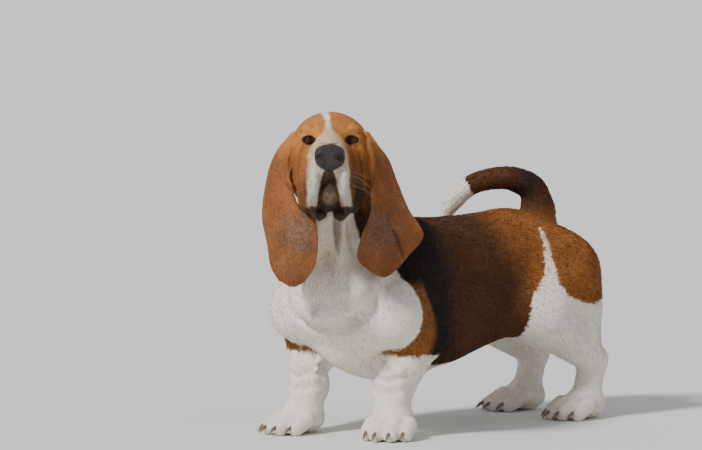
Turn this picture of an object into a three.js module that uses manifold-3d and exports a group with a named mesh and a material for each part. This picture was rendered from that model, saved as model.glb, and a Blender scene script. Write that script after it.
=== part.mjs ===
// A life-size basset hound that stands, bent a little to its left, with its head turned and lifted.
// Millimetres, +Z up, the floor at z = 0. The rump is at +Y, the chest at -Y and the dog's left side at +X.
import * as THREE from "three";
import { mergeVertices } from "three/addons/utils/BufferGeometryUtils.js";
import Module from "manifold-3d";

const wasm = await Module();
wasm.setup();

// Driving dimensions.
const withersHeight = 368;
const bodyLength = 640;
const chestWidth = 256;
const bendAngle = 24; // degrees that the forequarters turn to the left
const headYaw = 55;
const headPitch = 6;
const eyeRadius = 11.8;
const eyeSpacing = 74;
const noseWidth = 49;
const eyeSegments = 12;
const eyeRings = 8;
const lidDepth = 40; // how far the opening between the lids is cut forwards
const earThickness = 5;
const pawWidth = 88;
const parting = 0.3; // the gap between nodes

const degrees = Math.PI / 180;
const sides = { left: 1, right: -1 };
const vector = ([x, y, z]) => new THREE.Vector3(x, y, z);
const mirrored = (side, [x, y, z]) => [x * side, y, z];
const placed = (frame, point) => vector(point).applyMatrix4(frame).toArray();
const clamp = THREE.MathUtils.clamp;

// Frames. The body is drawn straight and then bent: behind bendStart it stays, ahead of bendEnd it turns as one.
const bendStart = 70;
const bendEnd = -150;
const bendRadius = (bendStart - bendEnd) / (bendAngle * degrees);
const hips = new THREE.Matrix4();
const headAt = [164, -318, 501];

function moved(x, y, z, turnZ = 0, turnX = 0) {
  const turn = new THREE.Matrix4().makeRotationZ(turnZ * degrees);
  turn.multiply(new THREE.Matrix4().makeRotationX(turnX * degrees));
  return turn.setPosition(x, y, z);
}

function bent([x, y, z]) {
  if (y >= bendStart) return [x, y, z];
  const angle = Math.min((bendStart - y) / bendRadius, bendAngle * degrees);
  const rest = Math.max(0, bendEnd - y);
  return [
    bendRadius - (bendRadius - x) * Math.cos(angle) + rest * Math.sin(angle),
    bendStart - (bendRadius - x) * Math.sin(angle) - rest * Math.cos(angle),
    z,
  ];
}

function straightened([x, y, z]) {
  if (y >= bendStart) return [x, y, z];
  const angle = Math.atan2(bendStart - y, bendRadius - x);
  if (angle < bendAngle * degrees) {
    return [bendRadius - Math.hypot(bendRadius - x, bendStart - y), bendStart - bendRadius * angle, z];
  }
  return vector([x, y, z]).applyMatrix4(chestInverse).toArray();
}

const chestAt = bent([0, bendEnd, 0]);
const chest = moved(chestAt[0], chestAt[1], 0, bendAngle).multiply(moved(0, -bendEnd, 0));
const chestInverse = chest.clone().invert();
const head = moved(...headAt, headYaw, -headPitch);
const headLevel = moved(...headAt, headYaw);

// Clay: forms joined or carved with soft seams. A form gives its distance from a point, negative inside.
function blob(centre, radii, turn = [0, 0, 0]) {
  const [cx, cy, cz] = centre;
  const [rx, ry, rz] = radii;
  const reach = Math.max(...radii);
  const back = new THREE.Matrix4()
    .makeRotationFromEuler(new THREE.Euler(...turn.map((t) => t * degrees)))
    .invert().elements;
  return {
    box: new THREE.Box3(vector(centre).subScalar(reach), vector(centre).addScalar(reach)),
    distance(x, y, z) {
      const [px, py, pz] = [x - cx, y - cy, z - cz];
      const qx = back[0] * px + back[4] * py + back[8] * pz;
      const qy = back[1] * px + back[5] * py + back[9] * pz;
      const qz = back[2] * px + back[6] * py + back[10] * pz;
      const k = Math.hypot(qx / rx, qy / ry, qz / rz);
      const g = Math.hypot(qx / rx ** 2, qy / ry ** 2, qz / rz ** 2);
      return g < 1e-9 ? -Math.min(rx, ry, rz) : (k * (k - 1)) / g;
    },
  };
}

// A round limb through the points, with a radius at each; slim scales it in x, y and z.
function limb(points, radii, slim = [1, 1, 1]) {
  const [sx, sy, sz] = slim;
  const scale = Math.min(...slim);
  const pts = points.map(([x, y, z]) => [x / sx, y / sy, z / sz]);
  const box = new THREE.Box3();
  points.forEach((p, i) => {
    box.expandByPoint(vector(p).addScalar(radii[i]));
    box.expandByPoint(vector(p).subScalar(radii[i]));
  });
  return {
    box,
    distance(x, y, z) {
      const [px, py, pz] = [x / sx, y / sy, z / sz];
      let nearest = Infinity;
      for (let i = 0; i + 1 < pts.length; i++) {
        const [a, b] = [pts[i], pts[i + 1]];
        const [bx, by, bz] = [b[0] - a[0], b[1] - a[1], b[2] - a[2]];
        const along = ((px - a[0]) * bx + (py - a[1]) * by + (pz - a[2]) * bz) / (bx * bx + by * by + bz * bz);
        const t = clamp(along, 0, 1);
        const off = Math.hypot(px - a[0] - bx * t, py - a[1] - by * t, pz - a[2] - bz * t);
        nearest = Math.min(nearest, off - radii[i] - (radii[i + 1] - radii[i]) * t);
      }
      return nearest * scale;
    },
  };
}

// Points on a smooth curve through a few points, with their radii.
function smoothed(points, radii, steps) {
  const curve = new THREE.CatmullRomCurve3(points.map(vector), false, "catmullrom", 0.5);
  const sizes = new THREE.CatmullRomCurve3(radii.map((r) => vector([r, 0, 0])), false, "catmullrom", 0.5);
  const at = Array.from({ length: steps + 1 }, (_, i) => i / steps);
  return [at.map((t) => curve.getPoint(t).toArray()), at.map((t) => sizes.getPoint(t).x)];
}

const rope = (points, radii, slim) => limb(...smoothed(points, radii, (points.length - 1) * 3), slim);

// The trunk: egg-shaped sections from rump to breastbone. Each row is y, top, bottom, half width.
const trunkRows = [
  [bodyLength * 0.49, 260, 232, 26],
  [284, 293, 216, 60],
  [240, 336, 186, 86],
  [180, 362, 152, 101],
  [120, 358, 134, 107],
  [60, 354, 116, 118],
  [0, 354, 100, chestWidth * 0.49],
  [-80, 361, 93, chestWidth * 0.5],
  [-150, withersHeight, 96, chestWidth * 0.49],
  [-205, 352, 106, chestWidth * 0.47],
  [-262, 312, 138, chestWidth * 0.4],
  [-300, 276, 172, chestWidth * 0.28],
  [-bodyLength * 0.5, 246, 200, 30],
];

function rowAt(rows, y) {
  const last = rows.length - 1;
  if (y >= rows[0][0]) return rows[0];
  if (y <= rows[last][0]) return rows[last];
  const i = rows.findIndex((row) => y >= row[0]) - 1;
  const [a, b] = [rows[i], rows[i + 1]];
  const [before, after] = [rows[Math.max(0, i - 1)], rows[Math.min(last, i + 2)]];
  const t = (y - a[0]) / (b[0] - a[0]);
  return a.map((start, k) => {
    const leave = ((b[k] - before[k]) / (b[0] - before[0])) * (b[0] - a[0]);
    const arrive = ((after[k] - a[k]) / (after[0] - a[0])) * (b[0] - a[0]);
    const rise = b[k] - start;
    return start + t * (leave + t * (3 * rise - 2 * leave - arrive + t * (leave + arrive - 2 * rise)));
  });
}

const trunk = {
  box: new THREE.Box3(vector([-150, -330, 80]), vector([260, 330, 380])),
  distance(wx, wy, wz) {
    const [x, y, z] = straightened([wx, wy, wz]);
    const [, top, bottom, halfWidth] = rowAt(trunkRows, y);
    const halfHeight = (top - bottom) / 2;
    const rise = z - (top + bottom) / 2;
    const share = (Math.abs(x / halfWidth) ** 2.3 + Math.abs(rise / halfHeight) ** 2.3) ** (1 / 2.3);
    const off = Math.hypot(x, rise);
    const round = share < 0.05 ? -Math.min(halfWidth, halfHeight) : off * (1 - 1 / share);
    const past = Math.max(0, Math.abs(y) - bodyLength / 2);
    return past > 0 ? Math.hypot(Math.max(round, 0), past) : round;
  },
};

const reach = 45;

class Clay {
  steps = [];
  frame = hips;

  in(frame) {
    this.frame = frame;
    return this;
  }

  step(form, blend, carves) {
    const box = form.box.clone().applyMatrix4(this.frame).expandByScalar(reach);
    this.steps.push({ form, blend, carves, box, back: this.frame.clone().invert().elements });
    return this;
  }

  add(form, blend = 12) {
    return this.step(form, blend, false);
  }

  carve(form, blend = 4) {
    return this.step(form, blend, true);
  }

  apply({ form, blend, carves, back: m }, x, y, z, value) {
    const d = form.distance(
      m[0] * x + m[4] * y + m[8] * z + m[12],
      m[1] * x + m[5] * y + m[9] * z + m[13],
      m[2] * x + m[6] * y + m[10] * z + m[14],
    );
    const soft = Math.max(0, blend - Math.abs(carves ? value + d : value - d)) ** 2 / (4 * blend);
    return carves ? Math.max(value, -d) + soft : Math.min(value, d) - soft;
  }

  distance(x, y, z) {
    const point = vector([x, y, z]);
    let value = 1000;
    for (const step of this.steps) {
      if (step.box.containsPoint(point)) value = this.apply(step, x, y, z, value);
    }
    return value;
  }

  slope(x, y, z, step = 0.5) {
    return vector([
      this.distance(x + step, y, z) - this.distance(x - step, y, z),
      this.distance(x, y + step, z) - this.distance(x, y - step, z),
      this.distance(x, y, z + step) - this.distance(x, y, z - step),
    ]).divideScalar(2 * step);
  }
}

// Fills the outside corners at which the surface would touch itself along an edge or at a point: a face or a
// cell whose inside corners meet only diagonally.
function fillPinches(values, [nx, ny, nz], index) {
  const faces = [
    [1, 0, 0, 0, 1, 0],
    [0, 1, 0, 0, 0, 1],
    [0, 0, 1, 1, 0, 0],
  ];
  const diagonals = [
    [0, 0, 0],
    [1, 0, 0],
    [0, 1, 0],
    [1, 1, 0],
  ];
  const inside = (n) => values[n] < 0;
  const fill = (spots) => {
    const outside = spots.filter((n) => !inside(n));
    values[outside.reduce((a, b) => (values[a] < values[b] ? a : b))] = -0.01;
  };
  for (let again = true; again; ) {
    again = false;
    for (let k = 1; k + 1 < nz; k++) {
      for (let j = 1; j + 1 < ny; j++) {
        for (let i = 1; i + 1 < nx; i++) {
          for (const [a, b, c, d, e, f] of faces) {
            const ring = [[0, 0], [1, 0], [1, 1], [0, 1]].map(([p, q]) =>
              index(i + p * a + q * d, j + p * b + q * e, k + p * c + q * f),
            );
            const [one, two, three, four] = ring.map(inside);
            if (one !== three || two !== four || one === two) continue;
            fill(ring);
            again = true;
          }
          for (const [p, q, r] of diagonals) {
            const low = index(i + p, j + q, k + r);
            const high = index(i + 1 - p, j + 1 - q, k + 1 - r);
            const cell = [0, 1, 2, 3, 4, 5, 6, 7].map((n) => index(i + (n & 1), j + ((n >> 1) & 1), k + (n >> 2)));
            const others = cell.filter((n) => n !== low && n !== high);
            if (inside(low) !== inside(high)) continue;
            if (others.some((n) => inside(n) === inside(low))) continue;
            fill(inside(low) ? others : [low, high]);
            again = true;
          }
        }
      }
    }
  }
}

// The clay's surface between the grid lines xs, ys and zs of a frame, as one closed geometry: a vertex in each
// cell that the surface crosses, then pressed onto the surface and moved out by swell.
function surface(clay, frame, xs, ys, zs, swell = 0) {
  const counts = [xs.length, ys.length, zs.length];
  const [nx, ny, nz] = counts;
  const index = (i, j, k) => (k * ny + j) * nx + i;
  const values = new Float32Array(nx * ny * nz);
  const point = new THREE.Vector3();
  for (let k = 0; k < nz; k++) {
    for (let j = 0; j < ny; j++) {
      for (let i = 0; i < nx; i++) {
        const border = [i, j, k].some((n, axis) => n === 0 || n === counts[axis] - 1);
        point.set(xs[i], ys[j], zs[k]).applyMatrix4(frame);
        values[index(i, j, k)] = border ? 5 : clay.distance(point.x, point.y, point.z);
      }
    }
  }
  const corners = [0, 1, 2, 3, 4, 5, 6, 7].map((n) => [n & 1, (n >> 1) & 1, n >> 2]);
  fillPinches(values, counts, index);
  const edges = corners.flatMap((a, m) =>
    corners.slice(m + 1).flatMap((b, n) => (a.filter((v, axis) => v !== b[axis]).length === 1 ? [[m, m + 1 + n]] : [])),
  );
  const cells = new Map();
  const positions = [];
  for (let k = 0; k + 1 < nz; k++) {
    for (let j = 0; j + 1 < ny; j++) {
      for (let i = 0; i + 1 < nx; i++) {
        const v = corners.map(([a, b, c]) => values[index(i + a, j + b, k + c)]);
        const inside = v.filter((value) => value < 0).length;
        if (inside === 0 || inside === 8) continue;
        const sum = [0, 0, 0];
        let crossings = 0;
        for (const [m, n] of edges) {
          if (v[m] < 0 === v[n] < 0) continue;
          const t = v[m] / (v[m] - v[n]);
          for (let axis = 0; axis < 3; axis++) sum[axis] += corners[m][axis] + (corners[n][axis] - corners[m][axis]) * t;
          crossings++;
        }
        const [a, b, c] = sum.map((s) => s / crossings);
        point.set(
          xs[i] + (xs[i + 1] - xs[i]) * a,
          ys[j] + (ys[j + 1] - ys[j]) * b,
          zs[k] + (zs[k + 1] - zs[k]) * c,
        );
        cells.set(index(i, j, k), positions.length / 3);
        positions.push(...point.applyMatrix4(frame).toArray());
      }
    }
  }
  const triangles = [];
  const spots = positions.length / 3;
  const corner = (n) => vector(positions.slice(n * 3, n * 3 + 3));
  const steps = [
    [1, 0, 0],
    [0, 1, 0],
    [0, 0, 1],
  ];
  for (let k = 0; k + 1 < nz; k++) {
    for (let j = 0; j + 1 < ny; j++) {
      for (let i = 0; i + 1 < nx; i++) {
        for (let axis = 0; axis < 3; axis++) {
          if ([i, j, k].some((n, other) => n === 0 && other !== axis)) continue;
          const [u, v] = [steps[(axis + 1) % 3], steps[(axis + 2) % 3]];
          const [di, dj, dk] = steps[axis];
          const here = values[index(i, j, k)] < 0;
          if (here === values[index(i + di, j + dj, k + dk)] < 0) continue;
          const ring = [
            [0, 0],
            [1, 0],
            [1, 1],
            [0, 1],
          ].map(([p, q]) => cells.get(index(i - p * u[0] - q * v[0], j - p * u[1] - q * v[1], k - p * u[2] - q * v[2])));
          if (!here) ring.reverse();
          const [a, b, c, d] = ring;
          const short = corner(a).distanceTo(corner(c)) <= corner(b).distanceTo(corner(d));
          triangles.push(...(short ? [a, b, c, a, c, d] : [a, b, d, b, c, d]));
        }
      }
    }
  }
  const smallest = Math.min(xs[1] - xs[0], ys[1] - ys[0], zs[1] - zs[0]);
  for (let n = 0; n < spots; n++) {
    for (let pass = 0; pass < 2; pass++) {
      const [x, y, z] = positions.slice(n * 3, n * 3 + 3);
      const off = clay.distance(x, y, z);
      if (Math.abs(off) > smallest / 2) break;
      const slope = clay.slope(x, y, z);
      slope.multiplyScalar(-off / Math.max(0.3, slope.lengthSq()));
      positions[n * 3] += slope.x;
      positions[n * 3 + 1] += slope.y;
      positions[n * 3 + 2] += slope.z;
    }
    if (swell > 0) {
      const out = clay.slope(...positions.slice(n * 3, n * 3 + 3)).setLength(swell);
      positions[n * 3] += out.x;
      positions[n * 3 + 1] += out.y;
      positions[n * 3 + 2] += out.z;
    }
  }
  const geometry = new THREE.BufferGeometry();
  geometry.setAttribute("position", new THREE.Float32BufferAttribute(positions, 3));
  geometry.setIndex(triangles);
  return geometry;
}

// Evenly spaced lines from low to high; fine gives a closer spacing between two of them.
function lines(low, high, cell, fine) {
  const made = [low];
  while (made[made.length - 1] < high) {
    const at = made[made.length - 1];
    made.push(at + (fine && at >= fine[0] && at < fine[1] ? fine[2] : cell));
  }
  return made;
}

// Closed solids, joined and cut.
function solid(geometry, matrix) {
  const bare = new THREE.BufferGeometry();
  bare.setAttribute("position", geometry.getAttribute("position").clone());
  if (geometry.index) bare.setIndex(geometry.index);
  if (matrix) bare.applyMatrix4(matrix);
  const merged = mergeVertices(bare, 1e-4);
  return new wasm.Manifold(
    new wasm.Mesh({
      numProp: 3,
      vertProperties: new Float32Array(merged.attributes.position.array),
      triVerts: new Uint32Array(merged.index.array),
    }),
  );
}

const largest = (whole) => whole.decompose().reduce((a, b) => (a.volume() > b.volume() ? a : b));

function geometryOf(whole) {
  const mesh = whole.getMesh();
  const geometry = new THREE.BufferGeometry();
  geometry.setAttribute("position", new THREE.Float32BufferAttribute(mesh.vertProperties, 3));
  geometry.setIndex(new THREE.Uint32BufferAttribute(mesh.triVerts, 1));
  geometry.computeVertexNormals();
  return geometry;
}

// A box with its corners at low and high in a frame, grown on every side.
function block(frame, low, high, grow = 0, tilt = [0, 0, 0]) {
  const size = high.map((h, axis) => h - low[axis] + 2 * grow);
  const centre = high.map((h, axis) => (h + low[axis]) / 2);
  const turn = new THREE.Matrix4().makeRotationFromEuler(new THREE.Euler(...tilt.map((t) => t * degrees)));
  return solid(new THREE.BoxGeometry(...size), frame.clone().multiply(turn.setPosition(...centre)));
}

// A closed tube through the points, with a radius at each.
function sweep(points, radii, ringSides, rows) {
  const [path, sizes] = smoothed(points, radii, rows);
  const curve = new THREE.CatmullRomCurve3(path.map(vector));
  const positions = [];
  const side = new THREE.Vector3(0, 0, 1).cross(curve.getTangent(0.5)).normalize();
  if (side.lengthSq() < 0.5) side.set(1, 0, 0);
  path.forEach((p, i) => {
    const along = vector(path[Math.min(rows, i + 1)]).sub(vector(path[Math.max(0, i - 1)])).normalize();
    const across = side.clone().addScaledVector(along, -side.dot(along)).normalize();
    const up = along.clone().cross(across);
    for (let n = 0; n < ringSides; n++) {
      const angle = (n / ringSides) * 2 * Math.PI;
      const spot = vector(p).addScaledVector(across, Math.cos(angle) * sizes[i]);
      positions.push(...spot.addScaledVector(up, Math.sin(angle) * sizes[i]).toArray());
    }
  });
  positions.push(...path[0], ...path[rows]);
  const [first, last] = [positions.length / 3 - 2, positions.length / 3 - 1];
  const triangles = [];
  for (let n = 0; n < ringSides; n++) {
    const next = (n + 1) % ringSides;
    for (let i = 0; i < rows; i++) {
      const [a, b] = [i * ringSides + n, i * ringSides + next];
      triangles.push(a, b, b + ringSides, a, b + ringSides, a + ringSides);
    }
    triangles.push(first, next, n, last, rows * ringSides + n, rows * ringSides + next);
  }
  const geometry = new THREE.BufferGeometry();
  geometry.setAttribute("position", new THREE.Float32BufferAttribute(positions, 3));
  geometry.setIndex(triangles);
  return geometry;
}

// The forms of the body.
function addTrunk(clay) {
  clay.in(hips).add(trunk, 1);
  for (const side of Object.values(sides)) {
    const at = (p) => mirrored(side, p);
    clay.in(hips);
    clay.add(blob(at([54, 208, 276]), [46, 58, 54]), 30); // rump
    clay.add(limb([at([48, 264, 256]), at([62, 276, 205])], [34, 33]), 26); // buttock
    clay.in(chest);
    clay.add(blob(at([88, -160, 272]), [36, 62, 88], [-14, 0, side * 4]), 26); // shoulder blade
    clay.add(blob(at([98, -236, 214]), [42, 48, 52]), 26); // point of the shoulder
  }
  clay.in(chest);
  clay.add(blob([0, -286, 226], [62, 42, 60]), 30); // breastbone
  clay.add(limb([[0, -250, 150], [0, -120, 112], [0, -40, 108]], [34, 30, 30]), 30); // keel
  clay.in(hips);
  clay.add(limb([[0, 236, 312], [-2, 237, 356]], [34, 27]), 20); // root of the tail
}

function addNeck(clay) {
  const base = placed(chest, [0, -168, 282]);
  const middle = placed(chest, [0, -232, 366]);
  const top = placed(head, [0, 34, -18]);
  clay.in(hips).add(rope([base, middle, top], [92, 74, 60]), 34);
  const throat = placed(head, [0, -30, -92]);
  const hang = placed(chest, [18, -286, 330]);
  const bib = placed(chest, [8, -298, 246]);
  clay.add(rope([throat, hang, bib], [30, 38, 44]), 30); // throat
  const leftFold = [placed(head, [14, -60, -114]), placed(chest, [41, -326, 322]), placed(chest, [62, -318, 252])];
  const rightFold = [placed(head, [-14, -60, -114]), placed(chest, [4, -330, 322]), placed(chest, [-10, -330, 246])];
  for (const fold of [leftFold, rightFold]) clay.add(rope(fold, [10, 14, 20]), 7); // dewlap
  clay.in(chest).add(blob([8, -298, 252], [72, 40, 46], [10, 0, 0]), 20); // bib of loose skin
  const bibEdge = [
    [-104, -250, 280],
    [-52, -312, 230],
    [-16, -326, 215],
    [14, -326, 215],
    [46, -316, 226],
    [74, -286, 256],
    [94, -254, 294],
  ];
  const underBib = bibEdge.map(([x, y, z]) => [x * 1.03, y + 4, z - 31]);
  clay.carve(rope(underBib, [8, 11, 13, 13, 12, 11, 8]), 8);
  clay.add(rope(bibEdge, [6, 16, 19, 19, 17, 14, 6]), 9);
  clay.carve(rope([[23, -352, 306], [24, -354, 284], [10, -352, 254]], [4, 6, 3]), 6); // furrow between the folds
  clay.carve(blob([22, -348, 194], [14, 16, 10]), 5);
}

function addForeleg(clay, side) {
  const at = (p) => mirrored(side, p);
  clay.in(chest);
  clay.add(limb([at([100, -238, 205]), at([112, -172, 172])], [46, 40]), 24); // upper arm
  clay.add(rope([at([108, -182, 172]), at([98, -208, 125]), at([82, -224, 78])], [42, 35, 30]), 18);
  clay.add(limb([at([82, -226, 80]), at([87, -240, 40])], [32, 31]), 10); // pastern
  clay.add(blob(at([114, -158, 178]), [26, 26, 30]), 16); // elbow
  for (const [height, size] of [[112, 8], [92, 9], [70, 9]]) {
    clay.add(limb([at([62, -246, height]), at([86, -256, height - 6]), at([106, -244, height])], [size, size, size]), 8);
  }
  addPaw(clay, pawFrames[side > 0 ? "front_left" : "front_right"]);
}

function addHindleg(clay, side) {
  const at = (p) => mirrored(side, p);
  clay.in(hips);
  clay.add(limb([at([66, 240, 254]), at([84, 172, 186])], [66, 54], [0.9, 1, 1]), 30); // thigh
  clay.add(rope([at([66, 250, 246]), at([76, 266, 190]), at([84, 272, 132])], [46, 40, 30]), 24);
  clay.add(rope([at([88, 178, 178]), at([86, 236, 138]), at([84, 288, 100])], [48, 37, 25]), 16);
  clay.add(blob(at([84, 298, 100]), [20, 20, 24]), 10); // hock
  clay.add(limb([at([84, 290, 98]), at([86, 276, 36])], [25, 25]), 10);
  clay.add(limb([at([86, 140, 196]), at([84, 92, 176])], [30, 22]), 34); // flank fold
  addPaw(clay, pawFrames[side > 0 ? "hind_left" : "hind_right"]);
}

const pawFrames = {
  front_left: chest.clone().multiply(moved(92, -246, 0, 14)),
  front_right: chest.clone().multiply(moved(-92, -246, 0, -14)),
  hind_left: moved(88, 262, 0, 8),
  hind_right: moved(-88, 262, 0, -8),
};
// Each toe's place across the paw, its knuckle and its tip.
const toes = [
  { x: -32, knuckle: -14, tip: -40 },
  { x: -12, knuckle: -26, tip: -56 },
  { x: 12, knuckle: -26, tip: -56 },
  { x: 32, knuckle: -14, tip: -40 },
].map((toe) => ({ ...toe, x: (toe.x * pawWidth) / 88 }));

function addPaw(clay, frame) {
  clay.in(frame);
  clay.add(blob([0, 8, 24], [37, 40, 27]), 14);
  for (const { x, knuckle, tip } of toes) {
    clay.add(limb([[x, knuckle, 25], [x * 1.04, tip, 11]], [15, 13.5]), 5);
  }
}

function addHead(clay) {
  clay.in(head);
  clay.add(blob([0, 16, -2], [61, 66, 50]), 22); // skull
  clay.add(blob([0, 64, 24], [18, 16, 20]), 22); // occiput
  clay.add(limb([[0, -46, -14], [0, -128, -30]], [33, 27]), 18); // bridge of the muzzle
  clay.add(blob([0, -102, -50], [34, 46, 30]), 14);
  for (const side of Object.values(sides)) {
    const at = (p) => mirrored(side, p);
    clay.add(blob(at([29, -36, 16]), [21, 18, 12]), 20); // brow
    clay.add(blob(at([44, 0, -50]), [26, 50, 48]), 24); // cheek
    clay.add(limb([at([44, -36, -20]), at([52, 6, -10])], [14, 16]), 16);
    clay.add(blob(at([36, -48, -70]), [19, 34, 50], [14, 0, 0]), 14);
    clay.add(blob(at([38, -60, -98]), [13, 26, 22]), 14);
    clay.add(blob(at([24, -108, -66]), [14, 41, 42]), 10); // flews
    clay.add(blob(at([30, -88, -86]), [12, 44, 35], [6, side * 6, side * 4]), 10);
    clay.add(rope([at([30, -60, -112]), at([18, -80, -126]), at([13, -76, -124])], [9, 9, 7]), 6); // lip corner
    clay.add(rope([at([57, -16, 16]), at([65, -26, -14]), at([68, -30, -46]), at([61, -38, -84])], [5, 8, 8, 4]), 5); // ear fold
  }
  clay.add(limb([[0, -112, -90], [0, -30, -92]], [19, 28]), 5); // lower jaw
  clay.add(blob([0, -122, -94], [17, 16, 19]), 4); // chin
  for (const side of Object.values(sides)) {
    const at = (p) => mirrored(side, p);
    clay.add(blob(at([35.5, -37, 0]), [17.5, 15.5, 16]), 7); // lids
    const mouth = [[0, -150, -70], at([11, -146, -84]), at([19, -136, -106]), at([22, -112, -124])];
    clay.carve(rope(mouth, [3, 3.5, 4, 4]), 4);
  }
  clay.carve(rope([[0, -152, -52], [0, -152, -72]], [2.5, 2.5]), 4); // philtrum
}

function makeNose() {
  const half = noseWidth / 2;
  const clay = new Clay().in(head);
  clay.add(blob([0, -142, -27], [half, 17, 15]), 1);
  clay.add(blob([0, -144, -43], [half * 0.62, 16, 14]), 9);
  for (const side of Object.values(sides)) {
    clay.add(blob([side * half * 0.54, -149, -36], [half * 0.46, 14, 14]), 6);
    clay.carve(rope([[side * 9, -168, -33], [side * 15, -164, -33], [side * 24, -152, -40]], [6.4, 5.4, 2.4]), 3);
  }
  clay.carve(rope([[0, -168, -30], [0, -166, -54]], [1.8, 1.8]), 3);
  return clay;
}

function makeHound() {
  const clay = new Clay();
  addTrunk(clay);
  addNeck(clay);
  for (const side of Object.values(sides)) {
    addForeleg(clay, side);
    addHindleg(clay, side);
  }
  addHead(clay);
  return clay;
}

const noseClay = makeNose();
const hound = makeHound();

// Regions that part the body, as closed solids; grow widens them by the gap.
const regions = {
  foreleg: (side, grow) =>
    block(chest, side > 0 ? [62, -296, -20] : [-260, -296, -20], side > 0 ? [260, -118, 232] : [-62, -118, 232], grow, [
      0,
      side * 8,
      0,
    ]),
  hindleg: (side, grow) =>
    block(hips, side > 0 ? [46, 84, -20] : [-240, 84, -20], side > 0 ? [240, 350, 236] : [-46, 350, 236], grow, [
      10,
      side * 6,
      0,
    ]),
};

const neckBase = moved(...vector([0, -196, 300]).applyMatrix4(chest).toArray(), bendAngle, -42);
const neckTop = moved(...vector([0, 22, -40]).applyMatrix4(head).toArray(), headYaw, -28);
const far = 400;

// Everything ahead of a plane: the frame's -Y side of y = 0.
const ahead = (frame, from, to) => block(frame, [-far, -to, -far], [far, -from, far]);

const coats = {
  tan: { color: 0xa8642a, roughness: 0.8 },
  white: { color: 0xece6da, roughness: 0.85 },
  saddle: { color: 0x4a2c18, roughness: 0.8 },
  leather: { color: 0x241d1a, roughness: 0.45 },
  eye: { color: 0x3a1c10, roughness: 0.1 },
  claw: { color: 0x4a3a30, roughness: 0.5 },
};

const dog = new THREE.Group();

function place(name, whole, coat) {
  const mesh = new THREE.Mesh(geometryOf(largest(whole)), new THREE.MeshStandardMaterial({ ...coats[coat], metalness: 0 }));
  mesh.name = name;
  dog.add(mesh);
  return mesh;
}

const floorCut = (whole) => whole.subtract(block(hips, [-far * 2, -far * 2, -80], [far * 2, far * 2, 0]));

// Torso.
let torso = solid(
  surface(hound, hips, lines(-190, 290, 26), lines(-400, 360, 30, [-400, -190, 26]), lines(60, 470, 25)),
);
torso = torso.subtract(ahead(neckBase, -parting / 2, far));
for (const side of Object.values(sides)) {
  torso = torso.subtract(regions.foreleg(side, parting));
  torso = torso.subtract(regions.hindleg(side, parting));
}

// Tail: one tube along its curve, parted from the torso at its root and in two across.
const tailPath = [
  [0, 238, 325],
  [-2, 236, 362],
  [-6, 226, 394],
  [-18, 196, 411],
  [-30, 168, 413],
  [-46, 142, 407],
  [-64, 126, 394],
  [-84, 114, 370],
  [-102, 106, 340],
];
const tailRadii = [27, 27, 25, 22, 20, 19, 18, 16, 8];
const tail = solid(sweep(tailPath, tailRadii, 10, 18));
const across = (point, towards) =>
  new THREE.Matrix4().lookAt(vector(towards), vector(point), new THREE.Vector3(1, 0, 0)).setPosition(...point);
const beyond = (frame, half, gap) => block(frame, [-half, -half, gap], [half, half, 260]);
const tailRoot = across([-1, 237, 350], [-3, 235, 362]);
const tailMiddle = across(tailPath[5], tailPath[6]);
place("torso", torso.subtract(beyond(tailRoot, 34, -parting)), "tan");
const raised = tail.intersect(beyond(tailRoot, 150, 0)).subtract(beyond(tailMiddle, 90, -parting));
place("tail_base", raised, "saddle");
place("tail_end", tail.intersect(beyond(tailMiddle, 90, 0)), "white");

// Legs and paws.
const pawTop = 46;
for (const [name, side] of Object.entries(sides)) {
  const legs = {
    foreleg: [chest, lines(50, 200, 18), lines(-330, -90, 19), lines(-11, 260, 19), "white", "front"],
    hindleg: [hips, lines(30, 180, 18), lines(60, 372, 20), lines(-11, 290, 19), "white", "hind"],
  };
  for (const [kind, [frame, xs, ys, zs, coat, end]] of Object.entries(legs)) {
    const own = side > 0 ? xs : xs.map((x) => -x).reverse();
    const whole = solid(surface(hound, frame, own, ys, zs)).intersect(regions[kind](side, 0));
    place(`${kind}_${name}`, whole.subtract(block(hips, [-far, -far * 2, -80], [far, far * 2, pawTop])), coat);

    const pawFrame = pawFrames[`${end}_${name}`];
    const pawLines = [lines(-58, 58, 9.6), lines(-84, 74, 10.6), lines(-15, 64, 9.6)];
    const paw = largest(
      floorCut(solid(surface(hound, pawFrame, ...pawLines)))
        .subtract(block(hips, [-far, -far * 2, pawTop - parting], [far, far * 2, 200]))
        .intersect(block(pawFrame, [-70, -110, -40], [70, 90, 80])),
    );
    place(`paw_${end}_${name}`, paw, "white");
    const keepOff = solid(surface(hound, pawFrame, ...pawLines, 2 * parting));
    toes.forEach(({ x, tip }, n) => {
      const claw = sweep([[x, tip - 4, 14], [x, tip - 16, 13], [x, tip - 25, 5]], [5, 4.4, 1.2], 5, 3);
      place(`claw_${end}_${name}_${n + 1}`, solid(claw, pawFrame).subtract(keepOff), "claw");
    });
  }
}

// Neck.
const neckSurface = solid(surface(hound, hips, lines(-80, 300, 22), lines(-440, -60, 22), lines(130, 560, 22)));
const neck = neckSurface.intersect(ahead(neckBase, parting / 2, far)).subtract(ahead(neckTop, -parting / 2, far));
place("neck", neck.subtract(regions.foreleg(1, parting)).subtract(regions.foreleg(-1, parting)), "white");

// Head, with its eyes, nose and lower jaw.
const headLines = [lines(-84, 84, 10.5, [-48, 48, 8.5]), lines(-176, 110, 12.5, [-176, -20, 9.4]), lines(-170, 66, 9.4)];
const headSurface = surface(hound, head, ...headLines);
let face = solid(headSurface).intersect(ahead(neckTop, parting / 2, far));
const eyeMesh = new THREE.SphereGeometry(eyeRadius, eyeSegments, eyeRings);
const socketMesh = new THREE.SphereGeometry(eyeRadius + parting + 0.2, eyeSegments, eyeRings);

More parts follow.
